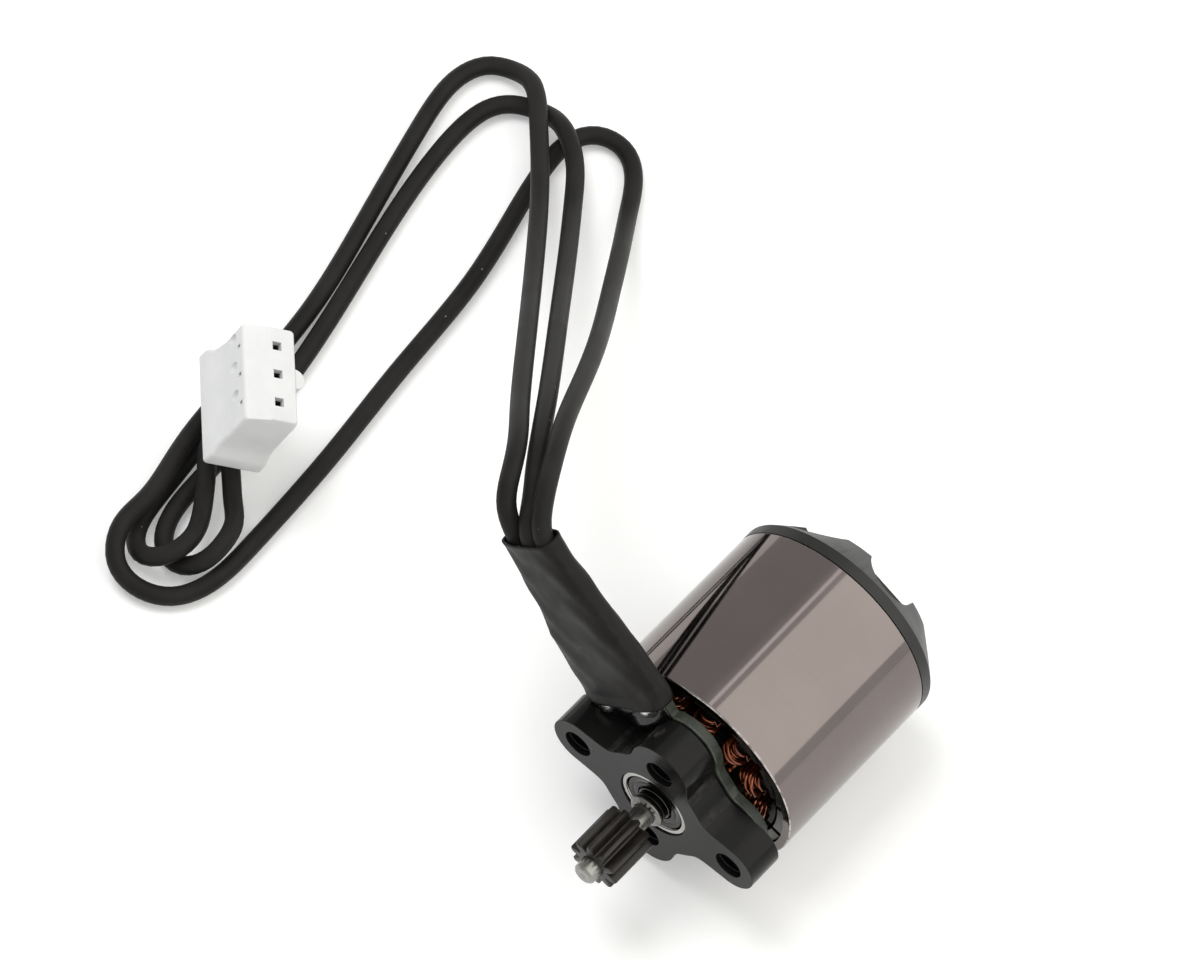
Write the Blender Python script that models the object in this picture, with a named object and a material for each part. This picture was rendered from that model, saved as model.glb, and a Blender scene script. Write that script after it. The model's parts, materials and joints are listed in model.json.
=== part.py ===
"""Small brushless outrunner motor: turning can, fixed cross base, pinion, three leads and a plug.

World frame in metres, +Z up. The motor lies on its can with its shaft along Y, pinion toward -Y.
Along the shaft, places are stations: distances behind the front face of the mounting plate.
"""

import math

import bmesh
import bpy
import numpy as np
from mathutils import Matrix, Vector

MM = 0.001
FIT = 0.03 * MM
RUN_GAP = 0.1 * MM
ROUND = 64
SMALL_ROUND = 24

# Shaft, pinion and the small rings on the shaft
SHAFT_R = 0.75 * MM
SHAFT_NOSE = 6.55 * MM
SHAFT_CHAMFER = 0.15 * MM
SHAFT_SHORT = 0.2 * MM
PINION_TEETH = 10
PINION_MODULE = 0.3 * MM
PINION_LENGTH = 3.5 * MM
PINION_SETBACK = 0.95 * MM
WASHER_RING = 0.32 * MM
WASHER_THICK = 0.3 * MM
CLIP_RING = 0.42 * MM
CLIP_THICK = 0.55 * MM

# Ball bearings: outer radius, width, ring walls
FRONT_BEARING_R = 2.5 * MM
FRONT_BEARING_WIDTH = 2.0 * MM
FRONT_OUTER_WALL = 0.4 * MM
FRONT_INNER_WALL = 0.42 * MM
REAR_BEARING_R = 2.0 * MM
REAR_BEARING_WIDTH = 2.0 * MM
REAR_OUTER_WALL = 0.3 * MM
REAR_INNER_WALL = 0.27 * MM
BEARING_RECESS = 0.1 * MM
BALL_COUNT = 7
BALL_CLEAR = 0.06 * MM
CAGE_HALF = 0.1 * MM
SHIELD_THICK = 0.1 * MM
SHIELD_INSET = 0.1 * MM

# Mounting base: cross plate and bearing carrier tube
PLATE_THICK = 2.5 * MM
HUB_WALL = 1.6 * MM
LONG_HOLE_X = 6.0 * MM
LONG_ARM_HALF = 1.9 * MM
SHORT_HOLE_Z = 4.0 * MM
SHORT_ARM_HALF = 2.1 * MM
SHORT_TIP_PAST_HOLE = 0.25 * MM
SCREW_HOLE_R = 0.97 * MM
CARRIER_WALL = 0.57 * MM
CARRIER_LAND = 0.42 * MM
CARRIER_PAST_STACK = 1.5 * MM
ARM_BLEND = 10

# Wiring board, solder joints
BOARD_GAP = 0.1 * MM
BOARD_THICK = 0.7 * MM
BOARD_MARGIN = 0.15 * MM
BOARD_ARM_REACH = 6.4 * MM
TAB_ANGLE = math.radians(136)
TAB_HALF = 3.3 * MM
SOLDER_RADIAL = 0.75 * MM
SOLDER_WIDE = 0.8 * MM
SOLDER_HIGH = 0.9 * MM
SOLDER_CLEAR = 0.1 * MM
SOLDER_FROM_EDGE = 0.1 * MM

# Can, magnets, stator
CAN_R = 7.5 * MM
CAN_WALL = 0.6 * MM
CAN_LENGTH = 12.7 * MM
CAN_CHAMFER = 0.12 * MM
CAN_OPEN_GAP = 0.7 * MM
MAGNET_COUNT = 14
MAGNET_THICK = 0.7 * MM
MAGNET_GLUE = 0.05 * MM
MAGNET_SPACING = 0.39 * MM
MAGNET_FRONT_OVERHANG = 0.1 * MM
MAGNET_REAR_OVERHANG = 0.5 * MM
AIR_GAP = 0.2 * MM
STACK_INSET = 0.5 * MM
STACK_REAR_ROOM = 4.2 * MM
TOOTH_COUNT = 12
TOOTH_WIDTH = 0.7 * MM
SHOE_THICK = 0.32 * MM
SLOT_OPENING = 0.62 * MM
YOKE_WALL = 0.62 * MM

# Winding of each tooth
WIRE_D = 0.24 * MM
WIRE_CLEAR = 0.08 * MM
COIL_PASSES = 6
CORNER_POINTS = 3
COIL_CORNER_R = 0.25 * MM

# Bell cap at the rear of the can
BELL_JOINT = 0.06 * MM
BELL_RIM = 0.75 * MM
BELL_CONE = 2.15 * MM
BELL_REAR_R = 5.5 * MM
BELL_SPIGOT = 1.0 * MM
BELL_SPIGOT_WALL = 0.55 * MM
BELL_PLATE_INSET = 0.2 * MM
BELL_BOSS_WALL = 0.93 * MM
BELL_HUB_SUNK = 0.7 * MM
LOBE_COUNT = 6
LOBE_ANGLE = math.radians(37)
LOBE_INNER_R = 3.9 * MM
VALLEY_R = 1.9 * MM
VALLEY_AXIS_PAST = 0.1 * MM
VENT_R = 5.0 * MM
VENT_HALF_WIDE = 1.5 * MM
VENT_HALF_DEEP = 0.85 * MM

# Leads, shrink sleeve and plug
LEAD_D = 1.24 * MM
LEAD_PITCH_BOARD = 2.1 * MM
LEAD_PITCH_EXIT = 1.42 * MM
LEAD_START = 0.3 * MM
SLEEVE_GAP = 0.1 * MM
SLEEVE_WALL = 0.15 * MM
SLEEVE_LENGTH = 11.8 * MM
SLEEVE_SHAPE = ((0.0, 7.7, 2.2), (4.3, 7.7, 2.2), (5.2, 6.6, 2.05), (7.1, 5.75, 1.95), (11.8, 4.7, 1.9))
SLEEVE_CAN_CLEAR = 0.15 * MM
PLUG_PITCH = 2.0 * MM
PLUG_REAR = Vector((-37.6, -2.7, 4.7)) * MM
PLUG_HEADING = math.radians(-46)
PLUG_LIFT = math.radians(67.5)
PLUG_LENGTH = 5.8 * MM
PLUG_THICK = 3.5 * MM
PLUG_END_WALL = 0.65 * MM
PLUG_WEB = 0.5 * MM
PLUG_ROUND = 0.2 * MM
FLANGE_LENGTH = 1.6 * MM
FLANGE_PROUD = 0.45 * MM
CAVITY_HIGH = 1.8 * MM
CAVITY_DEEP = 4.6 * MM
PIN_HOLE = 0.6 * MM
RIB_WIDE = 1.4 * MM
RIB_LONG = 2.0 * MM
RIB_PROUD = 0.6 * MM
WINDOW_WIDE = 0.4 * MM
WINDOW_LONG = 0.7 * MM
WINDOW_FROM_REAR = 2.3 * MM
LEAD_IN_PLUG = 0.9 * MM
TERMINAL_GAP = 0.3 * MM
BARREL_R = 0.45 * MM
BARREL_LONG = 1.0 * MM
BLADE_WIDE = 0.9 * MM

# Free run of each lead, from the sleeve's mouth to the plug, in millimetres
LEAD_1_ROUTE = (
    (-16.0, -3.3, 21.3), (-17.2, -1.4, 21.7), (-18.5, 0.7, 21.0), (-20.4, 3.3, 19.0),
    (-23.9, 8.3, 14.9), (-27.6, 13.7, 10.2), (-31.5, 19.3, 5.8), (-35.6, 24.8, 2.8),
    (-38.6, 28.2, 2.3), (-40.6, 30.1, 2.1), (-42.6, 30.8, 1.0), (-44.4, 30.0, 0.7),
    (-45.2, 27.6, 0.7), (-44.5, 23.4, 0.7), (-42.4, 15.7, 0.7), (-40.5, 8.0, 0.7),
    (-39.6, 0.1, 0.7), (-38.7, -6.6, 0.7), (-38.3, -9.4, 0.7), (-37.6, -11.4, 0.9),
    (-36.2, -12.5, 1.5), (-34.9, -11.9, 2.1), (-34.4, -10.2, 2.3), (-35.0, -8.4, 1.9),
    (-36.0, -6.9, 2.0), (-37.1, -5.5, 2.2), (-38.0, -4.2, 2.7),
)
LEAD_2_ROUTE = (
    (-15.0, -2.1, 21.0), (-16.4, -0.1, 21.0), (-19.2, 4.3, 18.9), (-22.5, 9.4, 14.8),
    (-25.8, 14.4, 10.6), (-29.5, 20.0, 6.0), (-33.2, 25.4, 2.5), (-35.1, 27.7, 2.2),
    (-37.2, 29.1, 2.0), (-39.2, 29.7, 0.9), (-41.1, 29.0, 0.7), (-42.3, 27.2, 0.7),
    (-42.3, 22.6, 0.7), (-41.1, 16.3, 0.7), (-39.2, 8.6, 0.7), (-37.8, 0.8, 0.7),
    (-37.3, -6.4, 0.7), (-36.9, -9.0, 0.7), (-35.9, -10.7, 0.7), (-34.3, -11.2, 0.8),
    (-33.0, -10.3, 1.6), (-32.8, -8.6, 2.1), (-33.4, -7.0, 1.9), (-34.5, -5.9, 1.8),
    (-35.7, -4.8, 2.6),
)
LEAD_3_ROUTE = (
    (-14.1, -2.2, 22.2), (-15.3, -0.1, 22.2), (-17.1, 3.3, 20.8), (-19.4, 8.2, 17.2),
    (-22.0, 13.4, 12.7), (-25.2, 19.0, 7.7), (-28.3, 24.3, 3.3), (-30.4, 27.8, 1.1),
    (-32.0, 30.2, 0.7), (-33.8, 31.3, 0.7), (-35.7, 30.9, 0.7), (-36.7, 29.2, 0.7),
    (-36.6, 26.6, 0.7), (-35.9, 23.4, 0.7), (-34.4, 17.0, 0.7), (-33.5, 9.1, 0.7),
    (-32.5, 1.1, 0.7), (-31.9, -6.5, 0.7), (-31.9, -10.4, 0.7), (-32.8, -12.8, 0.7),
    (-34.6, -14.1, 0.9), (-36.9, -14.0, 1.4), (-38.2, -12.2, 2.3), (-38.4, -9.6, 2.2),
    (-39.0, -6.6, 2.1), (-39.5, -4.2, 2.1), (-39.5, -2.3, 2.9),
)

# Sizes that follow from those above
BOARD_FRONT = PLATE_THICK + BOARD_GAP
BOARD_BACK = BOARD_FRONT + BOARD_THICK
CAN_FRONT = BOARD_BACK + CAN_OPEN_GAP
CAN_BACK = CAN_FRONT + CAN_LENGTH
CAN_BORE = CAN_R - CAN_WALL
STACK_FRONT = CAN_FRONT + STACK_INSET
STACK_BACK = CAN_BACK - STACK_REAR_ROOM
CARRIER_R = REAR_BEARING_R + FIT + CARRIER_WALL
CARRIER_END = STACK_BACK + CARRIER_PAST_STACK
HUB_R = FRONT_BEARING_R + FIT + HUB_WALL
INNER_BORE = SHAFT_R + FIT
MAGNET_BACK_R = CAN_BORE - MAGNET_GLUE
MAGNET_FACE_R = MAGNET_BACK_R - MAGNET_THICK
CORE_R = MAGNET_FACE_R - AIR_GAP
SHOE_UNDER_R = CORE_R - SHOE_THICK
YOKE_R = CARRIER_R + FIT + YOKE_WALL
FRONT_WASHER_BACK = BEARING_RECESS - RUN_GAP / 2
FRONT_WASHER_FRONT = FRONT_WASHER_BACK - WASHER_THICK
CLIP_BACK = FRONT_WASHER_FRONT - RUN_GAP / 2
REAR_WASHER_FRONT = CARRIER_END + RUN_GAP
REAR_WASHER_BACK = REAR_WASHER_FRONT + WASHER_THICK
BOSS_FRONT = REAR_WASHER_BACK + RUN_GAP
BELL_FRONT = CAN_BACK + BELL_JOINT
BELL_BACK = BELL_FRONT + BELL_RIM + BELL_CONE
SLEEVE_THICK = SLEEVE_SHAPE[0][2] * MM
SLEEVE_STATION = CAN_FRONT - SLEEVE_CAN_CLEAR - SLEEVE_THICK / 2
CAVITY_WIDE = PLUG_PITCH - PLUG_WEB
PLUG_HALF = PLUG_PITCH + CAVITY_WIDE / 2 + PLUG_END_WALL
FLANGE_HALF = PLUG_HALF + FLANGE_PROUD
MIDDLE = (BELL_BACK - SHAFT_NOSE) / 2
AXIS_Z = CAN_R * math.cos(math.pi / ROUND)


def stadium_reach(angle, half_width, tip):
    """Distance from the centre to the edge of a round-ended bar that lies along angle zero."""
    along = abs(math.cos(angle))
    across = abs(math.sin(angle))
    if tip * across >= half_width * along:
        return half_width / across
    return tip * along + math.sqrt(half_width**2 - (tip * across) ** 2)


def tab_reach(angle):
    along = math.cos(angle)
    if along <= 0.01:
        return 0.0
    return min(TAB_REACH / along, TAB_HALF / max(abs(math.sin(angle)), 1e-6))


def cross_outline(margin=0.0, long_reach=None, with_tab=False, count=120):
    """Cross of a hub disc and two round-ended bars, with blended inner corners."""
    long_half = LONG_ARM_HALF + margin
    long_tip = LONG_HOLE_X if long_reach is None else long_reach - long_half
    outline = []
    for i in range(count):
        angle = 2 * math.pi * i / count
        reaches = [
            HUB_R + margin,
            stadium_reach(angle, long_half, long_tip),
            stadium_reach(angle - math.pi / 2, SHORT_ARM_HALF + margin, SHORT_HOLE_Z + SHORT_TIP_PAST_HOLE),
        ]
        radius = sum(reach**ARM_BLEND for reach in reaches) ** (1 / ARM_BLEND)
        if with_tab:
            radius = max(radius, tab_reach(angle - TAB_ANGLE))
        outline.append((radius * math.cos(angle), radius * math.sin(angle)))
    return outline


def joint_rho():
    """Distance out along the tab at which the solder joints clear the plate's edge."""
    wide = SOLDER_WIDE + SOLDER_CLEAR
    deep = SOLDER_RADIAL + SOLDER_CLEAR
    rho = 0.0
    for x, z in cross_outline():
        along = x * math.cos(TAB_ANGLE) + z * math.sin(TAB_ANGLE)
        across = x * math.sin(TAB_ANGLE) - z * math.cos(TAB_ANGLE)
        for place in (-1, 0, 1):
            share = abs(across - place * LEAD_PITCH_BOARD) / wide
            if along > 0 and share < 1:
                rho = max(rho, along + deep * math.sqrt(1 - share**2))
    return rho


# Sizes that follow from the plate's outline
JOINT_RHO = joint_rho()
TAB_REACH = JOINT_RHO + SOLDER_RADIAL + SOLDER_FROM_EDGE
SLEEVE_START = TAB_REACH + SLEEVE_GAP


def finish(name, color, roughness, metallic):
    material = bpy.data.materials.new(name)
    material.use_nodes = True
    shader = material.node_tree.nodes["Principled BSDF"]
    shader.inputs["Base Color"].default_value = (*color, 1)
    shader.inputs["Roughness"].default_value = roughness
    shader.inputs["Metallic"].default_value = metallic
    return material


def frame_empty(name, location, rotation=(0, 0, 0)):
    empty = bpy.data.objects.new(name, None)
    empty.location = location
    empty.rotation_euler = rotation
    bpy.context.scene.collection.objects.link(empty)
    return empty


def add(name, data, material, parent=None, turn=0.0):
    part = bpy.data.objects.new(name, data)
    part.parent = parent
    part.rotation_euler = (0, turn, 0)
    if material and not data.materials:
        data.materials.append(material)
    bpy.context.scene.collection.objects.link(part)
    return part


def to_mesh(name, shape, smooth=True):
    bmesh.ops.recalc_face_normals(shape, faces=shape.faces)
    mesh = bpy.data.meshes.new(name)
    shape.to_mesh(mesh)
    shape.free()
    if smooth:
        mesh.shade_smooth()
        mesh.set_sharp_from_angle(angle=math.radians(35))
    return mesh


def skin(name, rings, closed=False):
    """Closed mesh over rings of equal point counts, capped at both ends or joined end to end."""
    shape = bmesh.new()
    rows = [[shape.verts.new(point) for point in ring] for ring in rings]
    for i in range(len(rows) - (not closed)):
        here = rows[i]
        after = rows[(i + 1) % len(rows)]
        for j in range(len(here)):
            k = (j + 1) % len(here)
            shape.faces.new((here[j], here[k], after[k], after[j]))
    if not closed:
        shape.faces.new(rows[0])
        shape.faces.new(rows[-1])
    return to_mesh(name, shape)


def circle(station, radius, count):
    """Points round the shaft, with a flat facet facing straight down."""
    angles = [(i + 0.5) * 2 * math.pi / count for i in range(count)]
    return [(radius * math.cos(a), station, radius * math.sin(a)) for a in angles]


def turned(name, profile, count, closed=True):
    """A profile of (station, radius) points turned about the shaft."""
    return skin(name, [circle(station, radius, count) for station, radius in profile], closed)


def ring(name, front, back, inner, outer, count=SMALL_ROUND):
    return turned(name, [(front, inner), (front, outer), (back, outer), (back, inner)], count)


def plate(name, loops, front, back):
    """Flat plate across the shaft: the first loop of (x, z) is its outline, the others are holes."""
    shape = bmesh.new()
    edges = []
    for loop in loops:
        corners = [shape.verts.new((x, front, z)) for x, z in loop]
        edges += [shape.edges.new((corners[i - 1], corners[i])) for i in range(len(corners))]
    bmesh.ops.triangle_fill(shape, use_beauty=True, edges=edges)
    grown = bmesh.ops.extrude_face_region(shape, geom=shape.faces[:])
    moved = [part for part in grown["geom"] if isinstance(part, bmesh.types.BMVert)]
    bmesh.ops.translate(shape, vec=(0, back - front, 0), verts=moved)
    return to_mesh(name, shape)


def boxes(name, sizes):
    """One mesh of separate boxes, each given by its low and high corner."""
    shape = bmesh.new()
    for low, high in sizes:
        middle = (Vector(low) + Vector(high)) / 2
        size = Vector(high) - Vector(low)
        place = Matrix.Translation(middle) @ Matrix.Diagonal((*size, 1))
        bmesh.ops.create_cube(shape, size=1, matrix=place)
    return to_mesh(name, shape, smooth=False)


def combine(target, operation, name, mesh):
    """Join or cut a part with a hidden helper that sits in the same frame."""
    helper = add(name, mesh, None, target.parent)
    helper.hide_render = True
    helper.display_type = "WIRE"
    modifier = target.modifiers.new(name, "BOOLEAN")
    modifier.operation = operation
    modifier.solver = "EXACT"
    modifier.object = helper


def round_loop(x, z, radius, count=SMALL_ROUND):
    turns = [(i + 0.5) * 2 * math.pi / count for i in range(count)]
    return [(x + radius * math.cos(a), z + radius * math.sin(a)) for a in turns]


def make_base(axis):
    """Cross plate with its four screw holes and, in one piece, the tube that carries both bearings."""
    black = finish("black_anodised_base", (0.02, 0.02, 0.022), 0.45, 0.6)
    holes = [round_loop(side * LONG_HOLE_X, 0, SCREW_HOLE_R) for side in (-1, 1)]
    holes += [round_loop(0, side * SHORT_HOLE_Z, SCREW_HOLE_R) for side in (-1, 1)]
    base = add("mount_base", plate("mount_base", [cross_outline(), *holes], 0, PLATE_THICK), black, axis)
    rod = [(PLATE_THICK / 2, CARRIER_R), (CARRIER_END, CARRIER_R)]
    combine(base, "UNION", "carrier_rod", turned("carrier_rod", rod, SMALL_ROUND, closed=False))
    front_seat = BEARING_RECESS + FRONT_BEARING_WIDTH + FIT
    rear_seat = CARRIER_END - BEARING_RECESS - REAR_BEARING_WIDTH - FIT
    middle_r = REAR_BEARING_R - CARRIER_LAND
    bore = [
        (-PLATE_THICK, FRONT_BEARING_R + FIT),
        (front_seat, FRONT_BEARING_R + FIT),
        (front_seat, middle_r),
        (rear_seat, middle_r),
        (rear_seat, REAR_BEARING_R + FIT),
        (CARRIER_END + PLATE_THICK, REAR_BEARING_R + FIT),
    ]
    combine(base, "DIFFERENCE", "stepped_bore", turned("stepped_bore", bore, SMALL_ROUND, closed=False))


def make_bearing(prefix, front, width, outer_r, outer_wall, inner_wall, axis, rotor):
    """Outer ring, inner ring and the ball set whose cage joins the balls."""
    steel = finish(prefix + "_bearing_steel", (0.75, 0.75, 0.74), 0.22, 1.0)
    brass = finish(prefix + "_cage_brass", (0.62, 0.55, 0.4), 0.35, 1.0)
    race_out = outer_r - outer_wall
    race_in = INNER_BORE + inner_wall
    back = front + width
    add(prefix + "_bearing_outer", ring(prefix + "_outer", front, back, race_out, outer_r), steel, axis)
    add(prefix + "_bearing_inner", ring(prefix + "_inner", front, back, INNER_BORE, race_in), steel, rotor)
    pitch_r = (race_out + race_in) / 2
    ball_r = (race_out - race_in) / 2 - BALL_CLEAR
    middle = (front + back) / 2
    cage_in = pitch_r - CAGE_HALF
    cage = ring(prefix + "_cage", middle - CAGE_HALF, middle + CAGE_HALF, cage_in, cage_in + 2 * CAGE_HALF)
    balls = bmesh.new()
    for i in range(BALL_COUNT):
        angle = 2 * math.pi * i / BALL_COUNT
        place = Matrix.Translation((pitch_r * math.cos(angle), middle, pitch_r * math.sin(angle)))
        bmesh.ops.create_uvsphere(balls, u_segments=8, v_segments=5, radius=ball_r, matrix=place)
    ball_set = add(prefix + "_ball_set", cage, brass, rotor)
    combine(ball_set, "UNION", prefix + "_balls", to_mesh(prefix + "_balls", balls))
    return race_out, race_in


def make_bearings(axis, rotor):
    front_walls = (FRONT_OUTER_WALL, FRONT_INNER_WALL)
    race_out, race_in = make_bearing(
        "front", BEARING_RECESS, FRONT_BEARING_WIDTH, FRONT_BEARING_R, *front_walls, axis, rotor
    )
    rear_front = CARRIER_END - BEARING_RECESS - REAR_BEARING_WIDTH
    rear_walls = (REAR_OUTER_WALL, REAR_INNER_WALL)
    make_bearing("rear", rear_front, REAR_BEARING_WIDTH, REAR_BEARING_R, *rear_walls, axis, rotor)
    dark = finish("bearing_shield", (0.09, 0.09, 0.09), 0.5, 0.7)
    front = BEARING_RECESS + SHIELD_INSET
    mesh = ring("front_shield", front, front + SHIELD_THICK, race_in + 2 * BALL_CLEAR, race_out - FIT)
    add("front_shield", mesh, dark, axis)


def make_board(axis):
    """Wiring board behind the plate, and the three joints where the leads are soldered to its tab."""
    green = finish("wiring_board", (0.16, 0.19, 0.16), 0.6, 0.0)
    solder = finish("solder", (0.7, 0.7, 0.7), 0.3, 1.0)
    outline = cross_outline(BOARD_MARGIN, BOARD_ARM_REACH, with_tab=True)
    bore = round_loop(0, 0, CARRIER_R + RUN_GAP)
    add("wiring_board", plate("wiring_board", [outline, bore], BOARD_FRONT, BOARD_BACK), green, axis)
    for i in range(3):
        shape = bmesh.new()
        bmesh.ops.create_uvsphere(shape, u_segments=10, v_segments=6, radius=1)
        place = sleeve_point(JOINT_RHO, (i - 1) * LEAD_PITCH_BOARD, BOARD_FRONT - FIT - SOLDER_HIGH / 2)
        size = Matrix.Diagonal((SOLDER_RADIAL, SOLDER_HIGH / 2, SOLDER_WIDE, 1))
        turn = Matrix.Rotation(-TAB_ANGLE, 4, "Y")
        bmesh.ops.transform(shape, matrix=Matrix.Translation(place) @ turn @ size, verts=shape.verts)
        add(f"solder_joint_{i + 1}", to_mesh("solder_joint", shape), solder, axis)


def make_core(axis):
    """Laminated core: yoke, teeth and shoes, as one outline repeated for each tooth."""
    steel = finish("lamination_steel", (0.12, 0.12, 0.12), 0.5, 0.8)
    step = 2 * math.pi / TOOTH_COUNT
    shoe = step / 2 - math.asin(SLOT_OPENING / 2 / CORE_R)
    foot = math.asin(TOOTH_WIDTH / 2 / YOKE_R)
    neck = math.asin(TOOTH_WIDTH / 2 / SHOE_UNDER_R)
    half = [(YOKE_R, step / 2), (YOKE_R, foot), (SHOE_UNDER_R, neck), (SHOE_UNDER_R, shoe)]
    arc = [(CORE_R, shoe * turn) for turn in (-1, -0.5, 0, 0.5, 1)]
    tooth = [(r, -a) for r, a in half] + arc + [(r, a) for r, a in reversed(half[1:])]
    outline = []
    for i in range(TOOTH_COUNT):
        outline += [(r * math.cos(a + i * step), r * math.sin(a + i * step)) for r, a in tooth]
    bore = round_loop(0, 0, CARRIER_R + FIT)
    add("stator_core", plate("stator_core", [outline, bore], STACK_FRONT, STACK_BACK), steel, axis)


def coil_points():
    """One wound wire round the tooth along +X, out along one side and back along the other."""
    side = TOOTH_WIDTH / 2 + WIRE_CLEAR + WIRE_D / 2
    turn_y = WIRE_CLEAR + WIRE_D / 2
    first = YOKE_R + WIRE_CLEAR + WIRE_D / 2
    climb = (SHOE_UNDER_R - WIRE_CLEAR - WIRE_D / 2 - first) / (COIL_PASSES - 1)
    front = STACK_FRONT - turn_y
    back = STACK_BACK + turn_y
    corner = min(COIL_CORNER_R, side)
    points = [(first, front - WIRE_D, -side)]
    for i in range(COIL_PASSES - 1):
        at = first + climb * i
        here = -1 if i % 2 == 0 else 1
        end = back if i % 2 == 0 else front
        inward = -1 if i % 2 == 0 else 1
        for n in range(2 * CORNER_POINTS):
            leaving = n < CORNER_POINTS
            share = (n if leaving else n - CORNER_POINTS) / (CORNER_POINTS - 1)
            angle = math.pi / 2 * (share if leaving else 1 - share)
            risen = climb * (0.3 * share if leaving else 0.7 + 0.3 * share)
            y = end + inward * corner * (1 - math.sin(angle))
            z = (here if leaving else -here) * (side - corner * (1 - math.cos(angle)))
            points.append((at + risen, y, z))
    last_side = side if COIL_PASSES % 2 == 0 else -side
    points.append((first + climb * (COIL_PASSES - 1), front - WIRE_D, last_side))
    return points


def least_gap(points, diameter):
    """Least clear distance between turns of one wire, leaving out its near neighbours along the wire."""
    dense = []
    for start, end in zip(points[:-1], points[1:]):
        pieces = max(2, math.ceil(math.dist(start, end) / (diameter / 2)))
        dense += [np.array(start) + (np.array(end) - np.array(start)) * k / pieces for k in range(pieces)]
    dense = np.array(dense)
    along = np.concatenate(([0.0], np.cumsum(np.linalg.norm(np.diff(dense, axis=0), axis=1))))
    apart = np.linalg.norm(dense[:, None] - dense[None], axis=2)
    apart[np.abs(along[:, None] - along[None]) < 6 * diameter] = np.inf
    return apart.min() - diameter


def wire(name, points, diameter, resolution):
    """Round tube of straight pieces along the points, capped at both ends."""
    curve = bpy.data.curves.new(name, "CURVE")
    curve.dimensions = "3D"
    curve.bevel_depth = diameter / 2
    curve.bevel_resolution = resolution
    curve.use_fill_caps = True
    spline = curve.splines.new("POLY")
    spline.points.add(len(points) - 1)
    for target, point in zip(spline.points, points):
        target.co = (*point, 1)
    return curve


def make_coils(axis):
    copper = finish("enamelled_copper", (0.45, 0.16, 0.05), 0.35, 0.9)
    points = coil_points()
    print(f"coil: least gap between turns {least_gap(points, WIRE_D) / MM:.2f} mm")
    curve = wire("coil", points, WIRE_D, 1)
    for i in range(TOOTH_COUNT):
        add(f"coil_{i + 1:02d}", curve, copper, axis, turn=2 * math.pi * i / TOOTH_COUNT)


def make_can(rotor):
    """Steel flux ring with the magnets glued inside it."""
    steel = finish("dark_nickel_can", (0.2, 0.19, 0.19), 0.12, 1.0)
    grey = finish("magnet_nickel", (0.4, 0.4, 0.4), 0.35, 0.9)
    profile = [
        (CAN_FRONT, CAN_BORE),
        (CAN_FRONT, CAN_R - CAN_CHAMFER),
        (CAN_FRONT + CAN_CHAMFER, CAN_R),
        (CAN_BACK, CAN_R),
        (CAN_BACK, CAN_BORE),
    ]
    add("rotor_can", turned("rotor_can", profile, ROUND), steel, rotor)
    half = math.pi / MAGNET_COUNT - math.asin(MAGNET_SPACING / 2 / MAGNET_FACE_R)
    sweep = [half * (k / 2 - 1) for k in range(5)]
    outline = [(MAGNET_BACK_R * math.cos(a), MAGNET_BACK_R * math.sin(a)) for a in sweep]
    outline += [(MAGNET_FACE_R * math.cos(a), MAGNET_FACE_R * math.sin(a)) for a in reversed(sweep)]
    mesh = plate("magnet", [outline], STACK_FRONT - MAGNET_FRONT_OVERHANG, STACK_BACK + MAGNET_REAR_OVERHANG)
    for i in range(MAGNET_COUNT):
        add(f"magnet_{i + 1:02d}", mesh, grey, rotor, turn=2 * math.pi * i / MAGNET_COUNT)


def make_bell(rotor):
    """Rear cap: rim flush with the can, cone cut into lobes, vents between them, boss on the shaft."""
    charcoal = finish("charcoal_bell", (0.05, 0.05, 0.055), 0.4, 0.7)
    spigot_r = CAN_BORE - FIT
    under = BELL_FRONT + BELL_PLATE_INSET
    hub_back = BELL_BACK - BELL_HUB_SUNK
    profile = [
        (BOSS_FRONT, INNER_BORE),
        (BOSS_FRONT, INNER_BORE + BELL_BOSS_WALL),
        (under, INNER_BORE + BELL_BOSS_WALL),
        (under, spigot_r - BELL_SPIGOT_WALL),
        (BELL_FRONT - BELL_SPIGOT, spigot_r - BELL_SPIGOT_WALL),
        (BELL_FRONT - BELL_SPIGOT, spigot_r),
        (BELL_FRONT, spigot_r),
        (BELL_FRONT, CAN_R),
        (BELL_FRONT + BELL_RIM, CAN_R),
        (BELL_BACK, BELL_REAR_R),
        (BELL_BACK, LOBE_INNER_R),
        (hub_back, LOBE_INNER_R - BELL_HUB_SUNK),
        (hub_back, INNER_BORE),
    ]
    bell = add("bell_cap", turned("bell_cap", profile, ROUND), charcoal, rotor)
    valleys = bmesh.new()
    vents = bmesh.new()
    valley_long = CAN_R - LOBE_INNER_R + VALLEY_R
    for i in range(LOBE_COUNT):
        angle = LOBE_ANGLE + (i + 0.5) * 2 * math.pi / LOBE_COUNT
        turn = Matrix.Rotation(-angle, 4, "Y")
        lying = Matrix.Rotation(math.pi / 2, 4, "Y")
        place = Matrix.Translation((LOBE_INNER_R + valley_long / 2, BELL_BACK + VALLEY_AXIS_PAST, 0))
        bmesh.ops.create_cone(
            valleys, cap_ends=True, segments=18, radius1=VALLEY_R, radius2=VALLEY_R, depth=valley_long,
            matrix=turn @ place @ lying,
        )
        upright = Matrix.Rotation(math.pi / 2, 4, "X")
        oval = Matrix.Diagonal((VENT_HALF_DEEP, 1, VENT_HALF_WIDE, 1))
        place = Matrix.Translation((VENT_R, BELL_BACK - BELL_CONE, 0))
        bmesh.ops.create_cone(
            vents, cap_ends=True, segments=14, radius1=1, radius2=1, depth=2 * BELL_CONE,
            matrix=turn @ place @ oval @ upright,
        )
    combine(bell, "DIFFERENCE", "valley_cutters", to_mesh("valley_cutters", valleys))
    combine(bell, "DIFFERENCE", "vent_cutters", to_mesh("vent_cutters", vents))


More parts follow.
